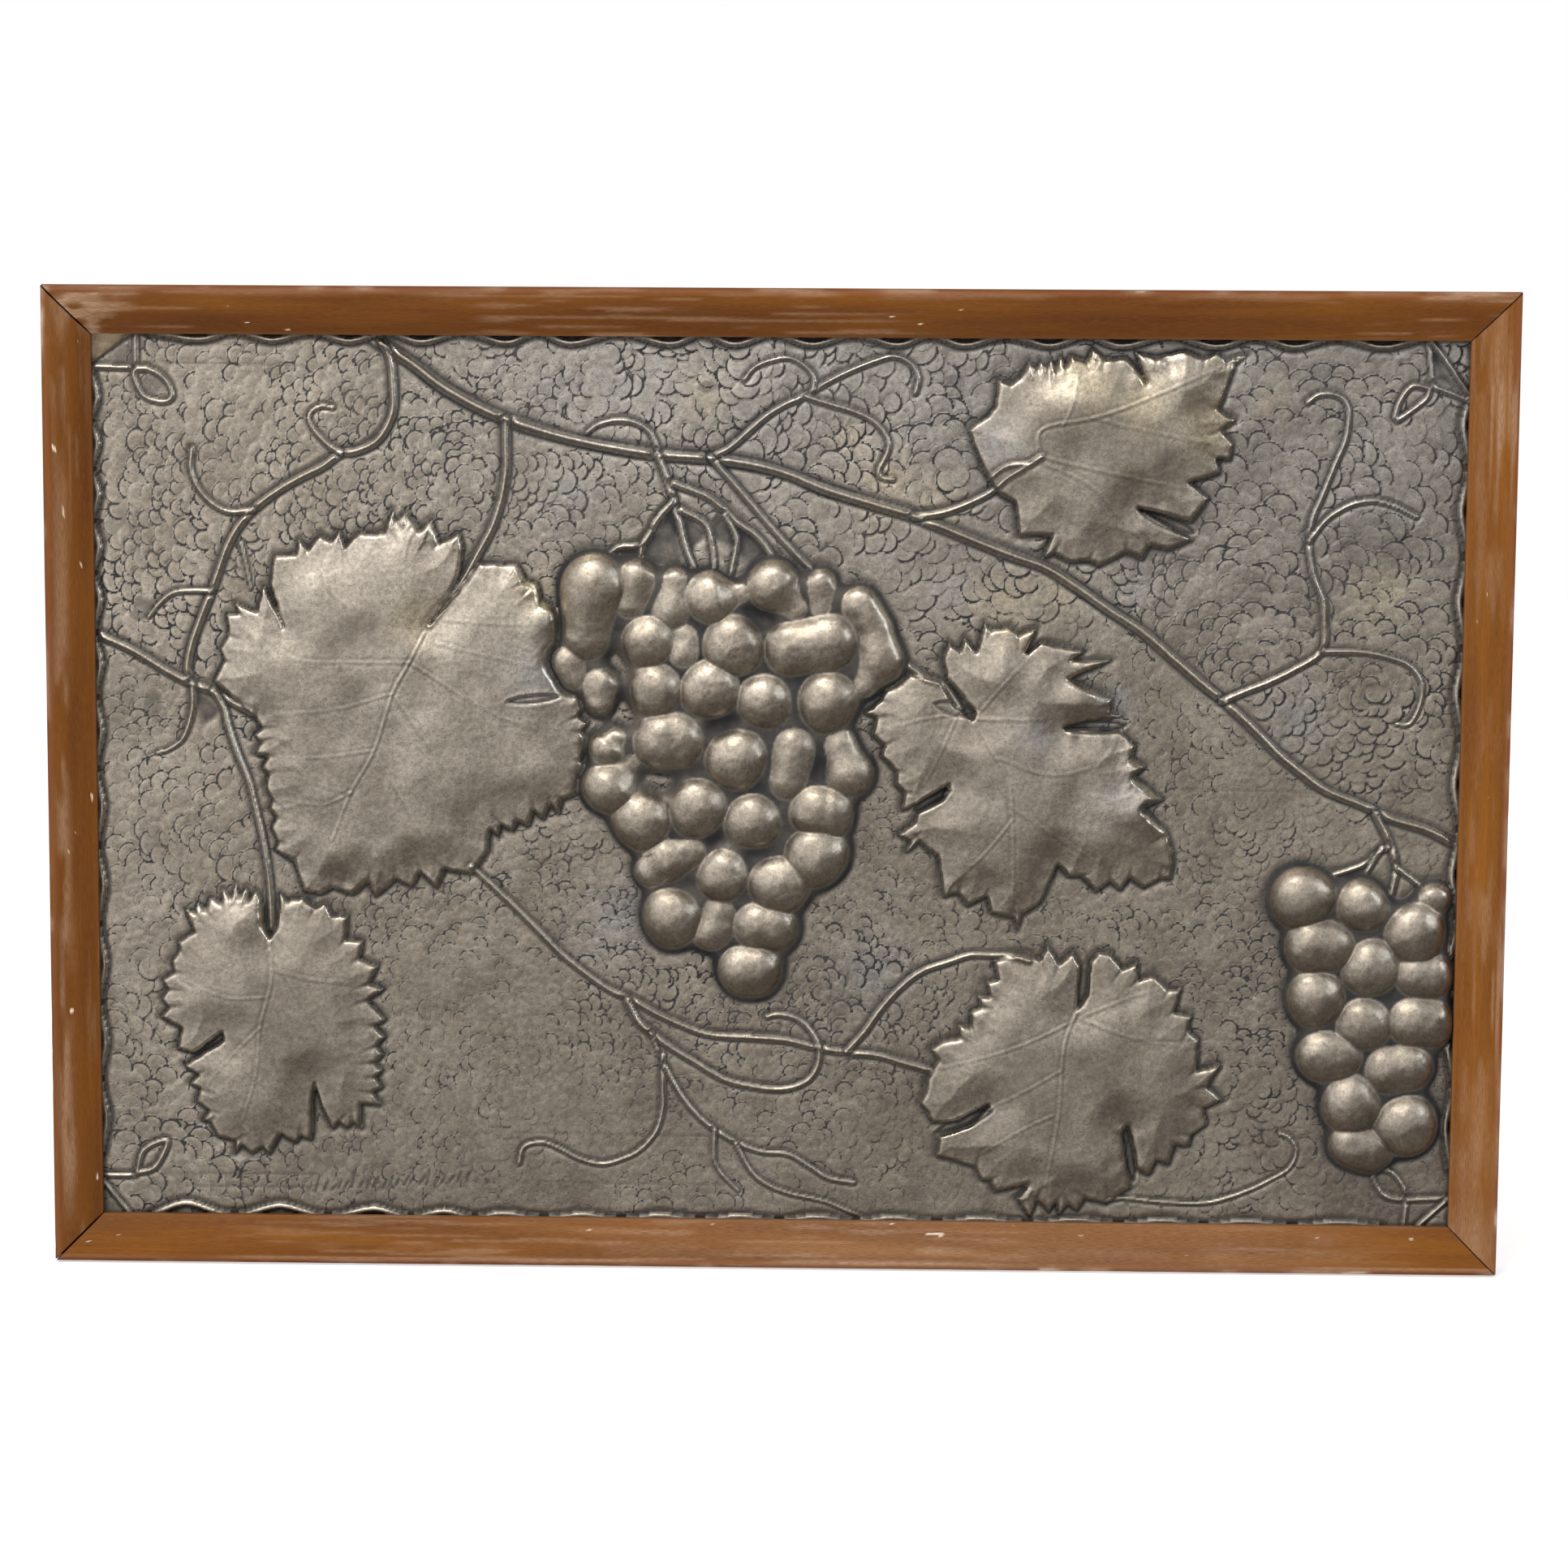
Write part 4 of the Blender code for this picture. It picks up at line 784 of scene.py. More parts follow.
def add_slits():
    """Almond slits in the leaves: a cut line all round, with raised, bright lips."""
    for (x0, z0), (x1, z1), half in SLITS:
        long, turn = math.hypot(x1 - x0, z1 - z0) / 2, math.atan2(z1 - z0, x1 - x0)
        x, z = (x0 + x1) / 2, (z0 + z1) / 2
        part = window(x, x, z, z, long + 6)
        px, pz = X[part] - x, Z[part] - z
        u = (px * math.cos(turn) + pz * math.sin(turn)) / long
        v = pz * math.cos(turn) - px * math.sin(turn)
        edge = half * np.clip(1 - u**2, 0, None) ** 0.8
        off = np.where(np.abs(u) < 1, np.abs(v) - edge, np.hypot(np.abs(v), (np.abs(u) - 1) * long))
        line = bell(off, 0.55)
        lips = bell(off - 1.4, 0.7) * (off > 0)
        cut = np.clip(0.95 * line + 0.22 * (off < 0), 0, 1)
        height[part] += 0.14 * lips - 0.5 * line - 0.2 * (off < 0)
        dark[part] = np.maximum(dark[part] * (1 - 0.8 * lips), cut)
        polish_and_painted_highlights[part] = np.clip(polish_and_painted_highlights[part] + 0.2 * lips + 0.2 * (off < 0), 0, 1)


def chain_share(balls, x, z):
    """How far out places lie in a chain of balls, 0 in its middle and 1 at its edge, and its radius."""
    share = np.full(x.shape, 9.0)
    width = np.full(x.shape, balls[0][2], float)
    for (ax, az, start), (bx, bz, end) in zip(balls, balls[1:] or balls):
        dx, dz = bx - ax, bz - az
        t = np.clip(((x - ax) * dx + (z - az) * dz) / max(dx * dx + dz * dz, 1e-6), 0, 1)
        radius = start + (end - start) * smooth(0, 1, t)
        here = np.hypot(x - ax - t * dx, z - az - t * dz) / radius
        width = np.where(here < share, radius, width)
        share = np.minimum(here, share)
    return share, width


def grape_domes():
    """The grapes' height above the mound, how near the edge each place is, reaching further in on the lower
    right as painted shade, and distance from the grapes.
    """
    domes = np.zeros(X.shape)
    edge = np.zeros(X.shape)
    nearest = np.full(X.shape, 9.0)
    for index, balls in enumerate(GRAPES):
        places = np.array(balls)
        (x, z, _), reach = places.mean(axis=0), places[:, 2].max() + 8
        (low_x, low_z, _), (high_x, high_z, _) = places.min(axis=0), places.max(axis=0)
        part = window(low_x, high_x, low_z, high_z, reach)
        px, pz = X[part] - x, Z[part] - z
        turn = np.arctan2(pz, px)
        bent = 1 + 0.03 * np.cos(2 * turn + 2.4 * index) + 0.025 * np.cos(3 * turn + 1.7 * index)
        e, width = chain_share(balls, X[part], Z[part])
        e = e * bent / GRAPE_SPREAD
        dome = GRAPE_DEPTH * width * np.clip(1 - e**2, 0, None) ** 0.52
        lumps = 0.4 * rough_noise(10, 500 + index, px, pz) + 0.13 * noise(4.2, 540 + index, px, pz)
        dome -= smooth(0, 1, dome) * (0.55 - lumps)
        wins = dome > domes[part]
        domes[part] = np.where(wins, dome, domes[part])
        # painted shade: the dark edge reaches further in on each grape's lower right side
        lower = (0.5 * px - pz) / np.maximum(np.hypot(px, pz), 1)
        edge[part] = np.where(wins, smooth(0.90 - 0.06 * lower, 1.0, e), edge[part])
        nearest[part] = np.minimum(nearest[part], (e - 1) * width)
    return domes, edge, nearest


def add_grapes():
    """Each bunch is a heap of domes on a low mound, with dark creases of patina and painted shade where they
    meet.
    """
    domes, edge, nearest = grape_domes()
    bunch = blurred(blurred((nearest < 1.2).astype(float), 5), 4)
    mound = MOUND * smooth(0.35, 0.95, bunch) * (1 + 0.2 * rough_noise(9, 490))
    domes += 0.40 * mound * smooth(0, 2, domes)
    on_grape = domes > 0.02
    near_equal = np.clip(MELT - np.abs(domes - mound), 0, None)
    heap = np.maximum(domes, mound) + near_equal**2 / (4 * MELT) * on_grape
    within = on_grape | (mound > 0.3)
    gap = np.clip(nearest, 0, None)
    recess = bell(gap, GRAPE_RECESS)
    height[:] = np.where(within, heap, height * (1 - recess) - GRAPE_RECESS_DEPTH * recess)
    # patina and painted shade in the creases, the valleys, between the grapes and round the bunch
    valley = smooth(0.3, 2.4, blurred(heap, 2) - heap)
    crease = smooth(0.5, 3.2, blurred(blurred(heap, 4), 3) - heap)
    inner = np.clip(0.36 * crease + 0.28 * valley + 0.72 * edge, 0, DARKEST)
    between = np.clip(0.86 - 0.60 * spots(MELTED), inner, DARKEST)
    around = np.maximum(dark, 0.9 * bell(gap, 1.9))
    dark[:] = np.where(on_grape, inner, np.where(within, between, around))
    polish_and_painted_highlights[:] = np.where(within, 0.08 + 0.25 * rough_noise(14, 495) - 0.4 * crease, polish_and_painted_highlights * (1 - recess))
    covered[:] = np.where(within, GRAPE, covered)


def add_worn_discs():
    """Round, pitted places on some of the grapes, each with a broken dark ring."""
    for x, z, reach in WORN_DISCS:
        part = window(x, x, z, z, 9)
        here = X[part], Z[part]
        away = np.hypot(X[part] - x, (Z[part] - z) * 1.15) * (1 + 0.25 * noise(3.5, 701, *here))
        ring = bell(away - reach, 0.5) * smooth(-0.4, 0.4, noise(4, 703, *here))
        pitted = smooth(0.30, 0.75, noise(1.5, 702, *here)) * smooth(reach, reach - 2, away)
        height[part] -= 0.20 * smooth(reach + 1.5, reach - 1.5, away) + 0.14 * pitted
        dark[part] = np.maximum(dark[part], 0.22 * ring + 0.50 * pitted)
        polish_and_painted_highlights[part] -= 0.15 * smooth(reach + 1, reach - 1, away)


def add_stalk(start_radius, end_radius, corners):
    """A rounded stalk with a recess along both sides. It passes under grapes and over leaves."""
    distance, along, _, length = near_line(smooth_route(corners), 8)
    radius = start_radius + (end_radius - start_radius) * (along / length)
    uneven = line_noise(14, int(abs(corners[0][0]) * 7), along)
    radius = STALK_SPREAD * radius * (1 + 0.10 * uneven)
    free = covered != GRAPE
    on_leaf = covered == LEAF
    inside = (distance < radius) & free
    profile = STALK_HEIGHT * radius * (0.5 + 0.5 * np.cos(math.pi * np.clip(distance / radius, 0, 1)))
    gap = np.clip(distance - radius, 0, None)
    recess = bell(gap, 0.5 + 0.45 * radius) * free * (distance < 8)
    raised = np.maximum(height, np.where(on_leaf, crown, 0.0) + profile)
    lowered = height * (1 - 0.75 * recess * ~on_leaf) - np.where(on_leaf, 0.25, 0.45) * recess
    height[:] = np.where(inside, raised, lowered)
    flanks = 0.08 + 0.62 * smooth(0.50, 1.0, distance / radius)
    beside = np.maximum(dark, 0.75 * recess**1.8 * np.where(on_leaf, 0.6, 1.0))
    dark[:] = np.where(inside, flanks, beside)
    polish_and_painted_highlights[:] = np.where(inside, STALK_POLISH, polish_and_painted_highlights * (1 - recess))
    line_share[inside] = 0


def waved(bends, edge, reaches):
    """A border line in and out of the opening's edge, as distances along the side and out from the middle."""
    route = [(bends[0], edge + UNDER_EDGE)]
    last = len(bends) - 2
    for index in range(1, last + 1):
        reach = np.interp(index / last, (0, 0.35, 1), reaches)
        hidden = (bends[index] + bends[index + 1]) / 2 if index < last else bends[-1]
        route += [(bends[index], edge - reach), (hidden, edge + UNDER_EDGE)]
    return route


def add_border():
    """The waved ridge that runs round the opening's edge."""
    top = waved(TOP_BENDS, SIGHT_Z, (1.8, 2.8, 2.6))
    bottom = waved(BOTTOM_BENDS, SIGHT_Z, (4.6, 0.3, 0.5))
    left = waved(LEFT_BENDS, SIGHT_X, (1.4, 1.4, 1.4))
    right = waved(RIGHT_BENDS, SIGHT_X, (1.6, 1.6, 1.6))
    for route in (
        top, [(a, -e) for a, e in bottom], [(-e, a) for a, e in left], [(e, a) for a, e in right],
    ):
        distance, _, _, _ = near_line(smooth_route(route), 6)
        free = covered == 0
        ridge = RIDGE * np.sqrt(np.clip(1 - (distance / RIDGE) ** 2, 0, None))
        recess = bell(np.clip(distance - RIDGE, 0, None), BORDER_RECESS) * free * (distance < 6)
        inside = (distance < RIDGE) & free
        lowered = height * (1 - recess) - RECESS_DEPTH * recess
        height[:] = np.where(inside, np.maximum(height, ridge), lowered)
        flanks = 0.4 * smooth(0.7, 1, distance / RIDGE)
        dark[:] = np.where(inside, flanks, np.maximum(dark, 0.75 * recess**1.8))
        polish_and_painted_highlights[:] = np.where(inside, BORDER_POLISH, polish_and_painted_highlights * (1 - recess))
        line_share[inside] = 0


def add_pools():
    """Deep, dark ground between the stalks."""
    for corners in DARK_POOLS:
        part, distance, _ = inside_distance(corners, 6)
        deep = smooth(-2.5, 2.5, distance + 1.2 * noise(5, 88)[part]) * (covered[part] == 0)
        height[part] = height[part] * (1 - deep) - 0.9 * deep
        dark[part] = np.maximum(dark[part], deep * (0.62 + 0.2 * noise(4, 89)[part]))
        polish_and_painted_highlights[part] *= 1 - deep
        line_share[part] *= 1 - deep


def add_strokes():
    """A row of shallow slanted strokes that are no letters, low on the left."""
    place = STROKES_X
    for index in range(STROKES):
        lean = random.uniform(1.2, 2.4)
        tall = random.uniform(2.2, 4.2) + (3.0 if index in TALL_STROKES else 0)
        foot = STROKES_Z + 0.22 * index + random.uniform(-0.7, 0.7)
        bow = random.uniform(-0.3, 0.3)
        middle = (place + lean * 0.5 + bow, foot + tall * 0.5)
        engrave(smooth_route([(place, foot), middle, (place + lean, foot + tall)]), *STROKE)
        place += random.uniform(2.4, 4.0)


def add_marks():
    """Scratches, stains, and spots of painted shade in the corner ornaments."""
    for start, end, darkness in SCRATCHES:
        engrave([start, end], *SCRATCH, darkness)
    ragged = 1 + 0.35 * noise(3.5, 77)
    for x, z, wide, tall in STAINS_AND_PAINTED_SHADE:
        e = np.hypot((X - x) / wide, (Z - z) / tall) * ragged
        dark[:] = np.maximum(dark, 0.42 * smooth(1.05, 0.8, e))


def settle():
    """The lip holds the sheet's edge down with painted shade along it, patina and painted shade gather in the
    low places, and the high ones are rubbed.
    """
    edge = np.maximum(np.abs(X) - SIGHT_X, np.abs(Z) - SIGHT_Z)
    height[:] = np.where(edge > -0.6, np.minimum(height, LIP_HEIGHT), height)
    height[:] = np.clip(height, DEEPEST, None)
    # painted shade where the sheet runs under the lip
    dark[:] = np.maximum(dark, 0.70 * smooth(-1.6, -0.2, edge))
    # patina and painted shade in the low places, fine and wide
    near = blurred(blurred(height, 2), 2) - height
    wide = blurred(blurred(height, 7), 7) - height
    fine_patina_and_painted_shade = 0.35 * np.clip(near / 0.5, 0, 1) * (covered == 0)
    dark[:] = np.clip(dark + fine_patina_and_painted_shade + 0.20 * np.clip(wide / 2.2, 0, 1), 0, 1)
    polish_and_painted_highlights[:] = np.clip(polish_and_painted_highlights + 0.5 * np.clip(-near / 0.5, 0, 1), 0, 1)


def shape_sheet():
    """The whole sheet. The ground first needs to know roughly what will hide it."""
    for corners in LEAVES.values():
        part, distance, _ = inside_distance(toothed_outline(corners)[0], 2)
        covered[part] = np.where(distance > 1, LEAF, covered[part])
    for x, z, radius in (ball for balls in GRAPES for ball in balls):
        covered[np.hypot(X - x, Z - z) < 0.9 * radius] = GRAPE
    set_ground()
    covered[:] = 0
    for name in LEAVES:
        add_leaf(name)
    add_slits()
    add_grapes()
    add_worn_discs()
    add_pools()
    for start_radius, end_radius, corners in STALKS:
        add_stalk(start_radius, end_radius, corners)
    add_border()
    for corners in CORNER_STROKES:
        add_stalk(CORNER_RADIUS, CORNER_RADIUS, corners)
    add_strokes()
    add_marks()
    settle()


def sheet_normals():
    """The sheet's normals, taken from the heights themselves so that the bands join without a seam."""
    slope_z, slope_x = np.gradient(height, LINES_Z, LINES_X)
    normal = np.stack([-slope_x, -np.ones(X.shape), -slope_z], axis=-1)
    return normal / np.linalg.norm(normal, axis=-1, keepdims=True)


def build_mesh(name, points, faces, normals=None):
    """A smooth mesh from places in metres and faces given as lists of corners."""
    mesh = bpy.data.meshes.new(name)
    mesh.vertices.add(len(points))
    mesh.vertices.foreach_set("co", np.asarray(points, np.float32).ravel())
    sizes = np.array([len(face) for face in faces])
    corners = np.concatenate([np.asarray(face) for face in faces])
    starts = np.concatenate([[0], np.cumsum(sizes)[:-1]])
    mesh.loops.add(len(corners))
    mesh.loops.foreach_set("vertex_index", corners.astype(np.int32))
    mesh.polygons.add(len(sizes))
    mesh.polygons.foreach_set("loop_start", starts.astype(np.int32))
    mesh.polygons.foreach_set("use_smooth", np.ones(len(sizes), bool))
    mesh.update(calc_edges=True)
    mesh.validate()
    if normals is not None:
        mesh.normals_split_custom_set_from_vertices(normals)
    obj = bpy.data.objects.new(name, mesh)
    bpy.context.scene.collection.objects.link(obj)
    return obj


def add_attribute(obj, name, values):
    """One number for each place of the mesh, which its material reads by name."""
    layer = obj.data.attributes.new(name, "FLOAT", "POINT")
    layer.data.foreach_set("value", np.asarray(values, np.float32))


def grid_quads(number):
    """Corners of the squares between neighbouring rows and columns of these numbers."""
    corners = [number[:-1, :-1], number[:-1, 1:], number[1:, 1:], number[1:, :-1]]
    return np.stack(corners, axis=-1).reshape(-1, 4)


def outer_loop(quads, count):
    """The corners round the outside of the quads, in order."""
    edges = np.concatenate([quads[:, [0, 1]], quads[:, [1, 2]], quads[:, [2, 3]], quads[:, [3, 0]]])
    keys = edges[:, 0].astype(np.int64) * count + edges[:, 1]
    turned = edges[:, 1].astype(np.int64) * count + edges[:, 0]
    border = edges[~np.isin(keys, turned)]
    following = dict(border.tolist())
    loop = [int(border[0, 0])]
    while following[loop[-1]] != loop[0]:
        loop.append(following[loop[-1]])
    return loop


def make_band(index, first, last):
    """One upright band of the sheet: the worked front, the edges and the flat back, closed all round."""
    columns = np.arange(first, last + 1)
    x, z = X[:, columns].copy(), Z[:, columns].copy()
    (x0, z0), (x1, z1) = CUT_CORNER
    outward = np.array([z0 - z1, x1 - x0]) / math.hypot(z0 - z1, x1 - x0)
    beyond = (x - x0) * outward[0] + (z - z0) * outward[1]
    quads = grid_quads(np.arange(x.size).reshape(x.shape))
    quads = quads[(beyond.ravel()[quads] < -1e-6).any(axis=1)]
    over = np.clip(beyond, 0, None)
    x -= over * outward[0]
    z -= over * outward[1]
    front = -(SHEET_FRONT + height[:, columns])
    loop = outer_loop(quads, x.size)
    used = np.unique(quads)
    count = len(used)
    place = np.full(x.size, -1)
    place[used] = np.arange(count)
    points = np.stack([x.ravel(), front.ravel(), z.ravel()], axis=1)[used]
    here = place[loop]
    back = points[here].copy()
    back[:, 1] = -SHEET_BACK
    points = np.concatenate([points, back]) / 1000
    normals = NORMALS[:, columns].reshape(-1, 3)[used]
    normals = np.concatenate([normals, np.tile([0.0, 1.0, 0.0], (len(loop), 1))])
    around = np.arange(len(loop))
    after = np.roll(around, -1)
    walls = np.stack([here[after], here, count + around, count + after], axis=1)
    faces = [*place[quads], *walls, (count + around)[::-1]]
    obj = build_mesh(f"pewter_sheet_{index + 1}", points, faces, normals)
    for name, field in FIELDS.items():
        values = field[:, columns].ravel()[used]
        add_attribute(obj, name, np.concatenate([values, np.zeros(len(loop))]))
    return obj


class Nodes:
    """Adds nodes to a material or the world. An input is a number, a colour or another node's output."""

    def __init__(self, tree):
        self.tree = tree

    def fill(self, socket, value):
        if isinstance(value, bpy.types.NodeSocket):
            self.tree.links.new(value, socket)
        else:
            socket.default_value = value

    def add(self, kind, inputs=None, **settings):
        node = self.tree.nodes.new("ShaderNode" + kind)
        for key, value in settings.items():
            setattr(node, key, value)
        for key, value in (inputs or {}).items():
            self.fill(node.inputs[key], value)
        return node

    def attribute(self, name, output="Fac"):
        return self.add("Attribute", attribute_name=name).outputs[output]

    def place(self, output="Object"):
        return self.add("TexCoord").outputs[output]

    def scaled(self, vector, scale):
        return self.add("Mapping", {"Vector": vector, "Scale": scale}).outputs["Vector"]

    def noise(self, vector, scale, detail, rough):
        inputs = {"Vector": vector, "Scale": scale, "Detail": detail, "Roughness": rough}
        return self.add("TexNoise", inputs).outputs["Fac"]

    def ranged(self, value, low, high, to_low, to_high):
        inputs = {"Value": value, "From Min": low, "From Max": high, "To Min": to_low, "To Max": to_high}
        return self.add("MapRange", inputs).outputs["Result"]

    def math(self, operation, first, second):
        return self.add("Math", {0: first, 1: second}, operation=operation).outputs[0]

    def times(self, first, second):
        return self.math("MULTIPLY", first, second)

    def plus(self, first, second):
        return self.math("ADD", first, second)

    def mixed(self, share, first, second):
        """The first colour where the share is 0, and the second where it is 1."""
        colors = [(*value, 1.0) if isinstance(value, tuple) else value for value in (first, second)]
        node = self.add("Mix", {0: share}, data_type="RGBA")
        self.fill(node.inputs[6], colors[0])
        self.fill(node.inputs[7], colors[1])
        return node.outputs[2]

    def bump(self, bumps, distance, strength, below=None):
        inputs = {"Height": bumps, "Distance": distance, "Strength": strength}
        if below is not None:
            inputs["Normal"] = below
        return self.add("Bump", inputs).outputs[0]


def new_material(name):
    """A material, the adder of its nodes, and its shader's inputs."""
    material = bpy.data.materials.new(name)
    material.use_nodes = True
    tree = material.node_tree
    return material, Nodes(tree), tree.nodes["Principled BSDF"].inputs


# Colours of the pewter. The dull and the bright metal have a darker and a lighter tint in soft clouds. The
# bright metal also carries the painted highlights
DULL_METAL = (0.375, 0.323, 0.258), (0.56, 0.493, 0.405)
BRIGHT_METAL = (0.59, 0.515, 0.42), (0.76, 0.685, 0.573)
# the colour the metal turns to under painted shade, where the painted light is low
SHADED_METAL = (0.10, 0.088, 0.072)
# colours of the painted bluish and yellowish reflections
PAINTED_BLUISH_REFLECTION_COLOR = (0.40, 0.415, 0.445)
PAINTED_YELLOWISH_REFLECTION_COLOR = (0.72, 0.60, 0.38)
MOTTLE = (0.15, 0.132, 0.112)
PIT = (0.10, 0.09, 0.08)
# the colour of patina and painted shade
PATINA_AND_PAINTED_SHADE = (0.030, 0.029, 0.030)


def pewter_material():
    """Worked pewter: cloudy metal, rubbed bright on the forms, with mottle, pits and dark patina, and with
    painted light, shade, highlights and reflections.
    """
    material, nodes, shader = new_material("pewter_worked")
    where = nodes.place()
    fields = {name: nodes.attribute(name) for name in FIELDS}
    clouds = nodes.noise(where, 45, 4, 0.6)
    specks = nodes.noise(where, 1400, 2, 0.6)
    grain = nodes.noise(where, 3200, 1, 0.5)
    mottle = nodes.noise(where, 520, 3, 0.65)
    dents = nodes.noise(where, 260, 2, 0.5)
    dull = nodes.mixed(nodes.ranged(clouds, 0.35, 0.65, 0, 1), *DULL_METAL)
    bright = nodes.mixed(nodes.ranged(clouds, 0.3, 0.7, 0, 1), *BRIGHT_METAL)
    metal = nodes.mixed(fields["polish_and_painted_highlights"], dull, bright)
    # painted shade: the metal darkens where the painted light is low
    metal = nodes.mixed(nodes.ranged(fields["painted_light_and_tone"], 0.0, 1.0, 0.36, 0.0), metal, SHADED_METAL)
    # painted bluish and yellowish reflections
    metal = nodes.mixed(nodes.times(fields["painted_bluish_reflection"], 0.50), metal, PAINTED_BLUISH_REFLECTION_COLOR)
    metal = nodes.mixed(nodes.times(fields["painted_yellowish_reflection"], 0.45), metal, PAINTED_YELLOWISH_REFLECTION_COLOR)
    metal = nodes.mixed(nodes.ranged(mottle, 0.40, 0.60, 0.34, 0.0), metal, MOTTLE)
    metal = nodes.mixed(nodes.ranged(specks, 0.56, 0.70, 0, 0.55), metal, PIT)
    # the dark line at each scale's edge, wider where it is darker
    reach = nodes.math("SUBTRACT", fields["inset"], nodes.times(fields["line"], 0.75))
    near_edge = nodes.ranged(reach, 0.05, 0.55, 1, 0)
    line = nodes.times(nodes.ranged(fields["line"], 0.0, 0.50, 0, 1), near_edge)
    # patina, painted shade and each scale's line darken the metal
    patina_lines_and_shade = nodes.math("MAXIMUM", nodes.math("POWER", fields["dark"], 0.8), line)
    clouded_patina_and_shade = nodes.times(patina_lines_and_shade, nodes.ranged(clouds, 0.3, 0.7, 0.85, 1.08))
    nodes.fill(shader["Base Color"], nodes.mixed(clouded_patina_and_shade, metal, PATINA_AND_PAINTED_SHADE))
    nodes.fill(shader["Metallic"], nodes.ranged(clouded_patina_and_shade, 0.2, 1.0, 0.96, 0.45))
    rough = nodes.ranged(fields["polish_and_painted_highlights"], 0.0, 1.0, 0.42, 0.25)
    rough = nodes.plus(rough, nodes.ranged(clouds, 0.3, 0.7, -0.04, 0.06))
    rough = nodes.plus(rough, nodes.times(fields["dark"], 0.22))
    nodes.fill(shader["Roughness"], rough)
    bump = nodes.bump(dents, 0.0006, 0.35)
    nodes.fill(shader["Normal"], nodes.bump(nodes.plus(specks, grain), 0.00008, 0.6, bump))
    return material


def painted_reflection_fields():
    """Painted reflections: where the metal is painted bluish, and where yellowish."""
    broad = smooth(20, 150, Z) * smooth(-230, -20, X) * (0.75 + 0.4 * rough_noise(45, 61)) * (covered == 0)
    uneven = 0.75 + 0.5 * rough_noise(9, 63)
    painted_bluish_reflection = np.clip(np.maximum(0.85 * broad, 1.1 * spots(PAINTED_BLUISH_REFLECTIONS) * uneven), 0, 1)
    painted_yellowish_reflection = np.clip(spots(PAINTED_YELLOWISH_REFLECTIONS) * uneven * np.where(covered == LEAF, 1.7, 1.0), 0, 1)
    return painted_bluish_reflection * (covered < GRAPE), painted_yellowish_reflection * (covered < GRAPE)


def painted_light_and_tone_field():
    """Painted light on the metal, lighter to the upper left. The bare ground is also lighter low on the left
    and darker along the bottom, each leaf is lighter or darker by its own amount, and there is random mottle.
    """
    across = -0.38 * X / SIGHT_X * smooth(-200, 100, X)
    upward = 0.42 * Z / SIGHT_Z * (1 - 0.85 * smooth(20, 160, X))
    ground = 0.09 * smooth(-175, -110, Z) + 0.45 * smooth(-195, -255, X) * smooth(60, -60, Z)
    ground *= covered == 0
    mottle = 0.20 * rough_noise(60, 71) + 0.16 * noise(1.9, 73)
    return np.clip(0.64 + across + upward + ground + leaf_tone + mottle, 0, 1)


shape_sheet()
NORMALS = sheet_normals()
painted_bluish_reflection, painted_yellowish_reflection = painted_reflection_fields()
# painted highlights: the reflection patches also brighten the metal
painted_highlight_share = 0.45 * (covered < GRAPE) * np.maximum(spots(PAINTED_BLUISH_REFLECTIONS), painted_yellowish_reflection)
polish_and_painted_highlights[:] = np.clip(polish_and_painted_highlights + painted_highlight_share * (1 - dark), 0, 1)
FIELDS = {
    "dark": dark, "polish_and_painted_highlights": polish_and_painted_highlights, "painted_bluish_reflection": painted_bluish_reflection, "painted_yellowish_reflection": painted_yellowish_reflection, "painted_light_and_tone": painted_light_and_tone_field(),
    "inset": inset, "line": line_share * (covered == 0),
}
pewter = pewter_material()
steps = np.linspace(0, len(LINES_X) - 1, BANDS + 1).round().astype(int)
for band in range(BANDS):
    piece = make_band(band, steps[band], steps[band + 1])
    piece.data.materials.append(pewter)
    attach(piece, "root")
    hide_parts("pewter_sheet")


def rail_section():
    """The moulding's section, as distance in from the outer edge and depth off the wall."""
    section = [(0.0, 0.0)]
    section += [(0.0, depth) for depth in np.linspace(2.5, RAIL_DEPTH - EDGE_ROUND, 7)]
    for degrees in range(15, 91, 15):
        angle = math.radians(degrees)
        round_in, round_down = EDGE_ROUND * (1 - math.cos(angle)), EDGE_ROUND * (1 - math.sin(angle))
        section.append((round_in, RAIL_DEPTH - round_down))
    for step in range(1, FACE_STEPS + 1):
        share = step / FACE_STEPS
        section.append((
            EDGE_ROUND + (RAIL_WIDTH - EDGE_ROUND) * share,
            RAIL_DEPTH - (RAIL_DEPTH - LIP_FRONT) * share**FACE_CURVE,
        ))
    rebate = RAIL_WIDTH - REBATE_WIDTH
    section += [(RAIL_WIDTH, LIP_BACK), (rebate, LIP_BACK), (rebate, 0.0)]
    return np.array(section)


def mitred_rows(section, length, corners):
    """Places along the rail for each row of its section. The mitres are open in front, by their gaps."""
    spans = round(length / ROW_STEP)
    near_end = 1 - 2 * END_ROW / length
    share = np.concatenate([[-1], np.linspace(-near_end, near_end, spans - 1), [1]])
    along = np.empty((spans + 1, len(section)))
    for column, (inward, depth) in enumerate(section):
        open_share = 0.06 + 0.70 * smooth(MITRE_SHUT, MITRE_OPEN, depth)
        left, right = (length / 2 - inward - MITRE_GAPS[corner] * open_share for corner in corners)
        along[:, column] = -left + (left + right) * (share + 1) / 2
    return along


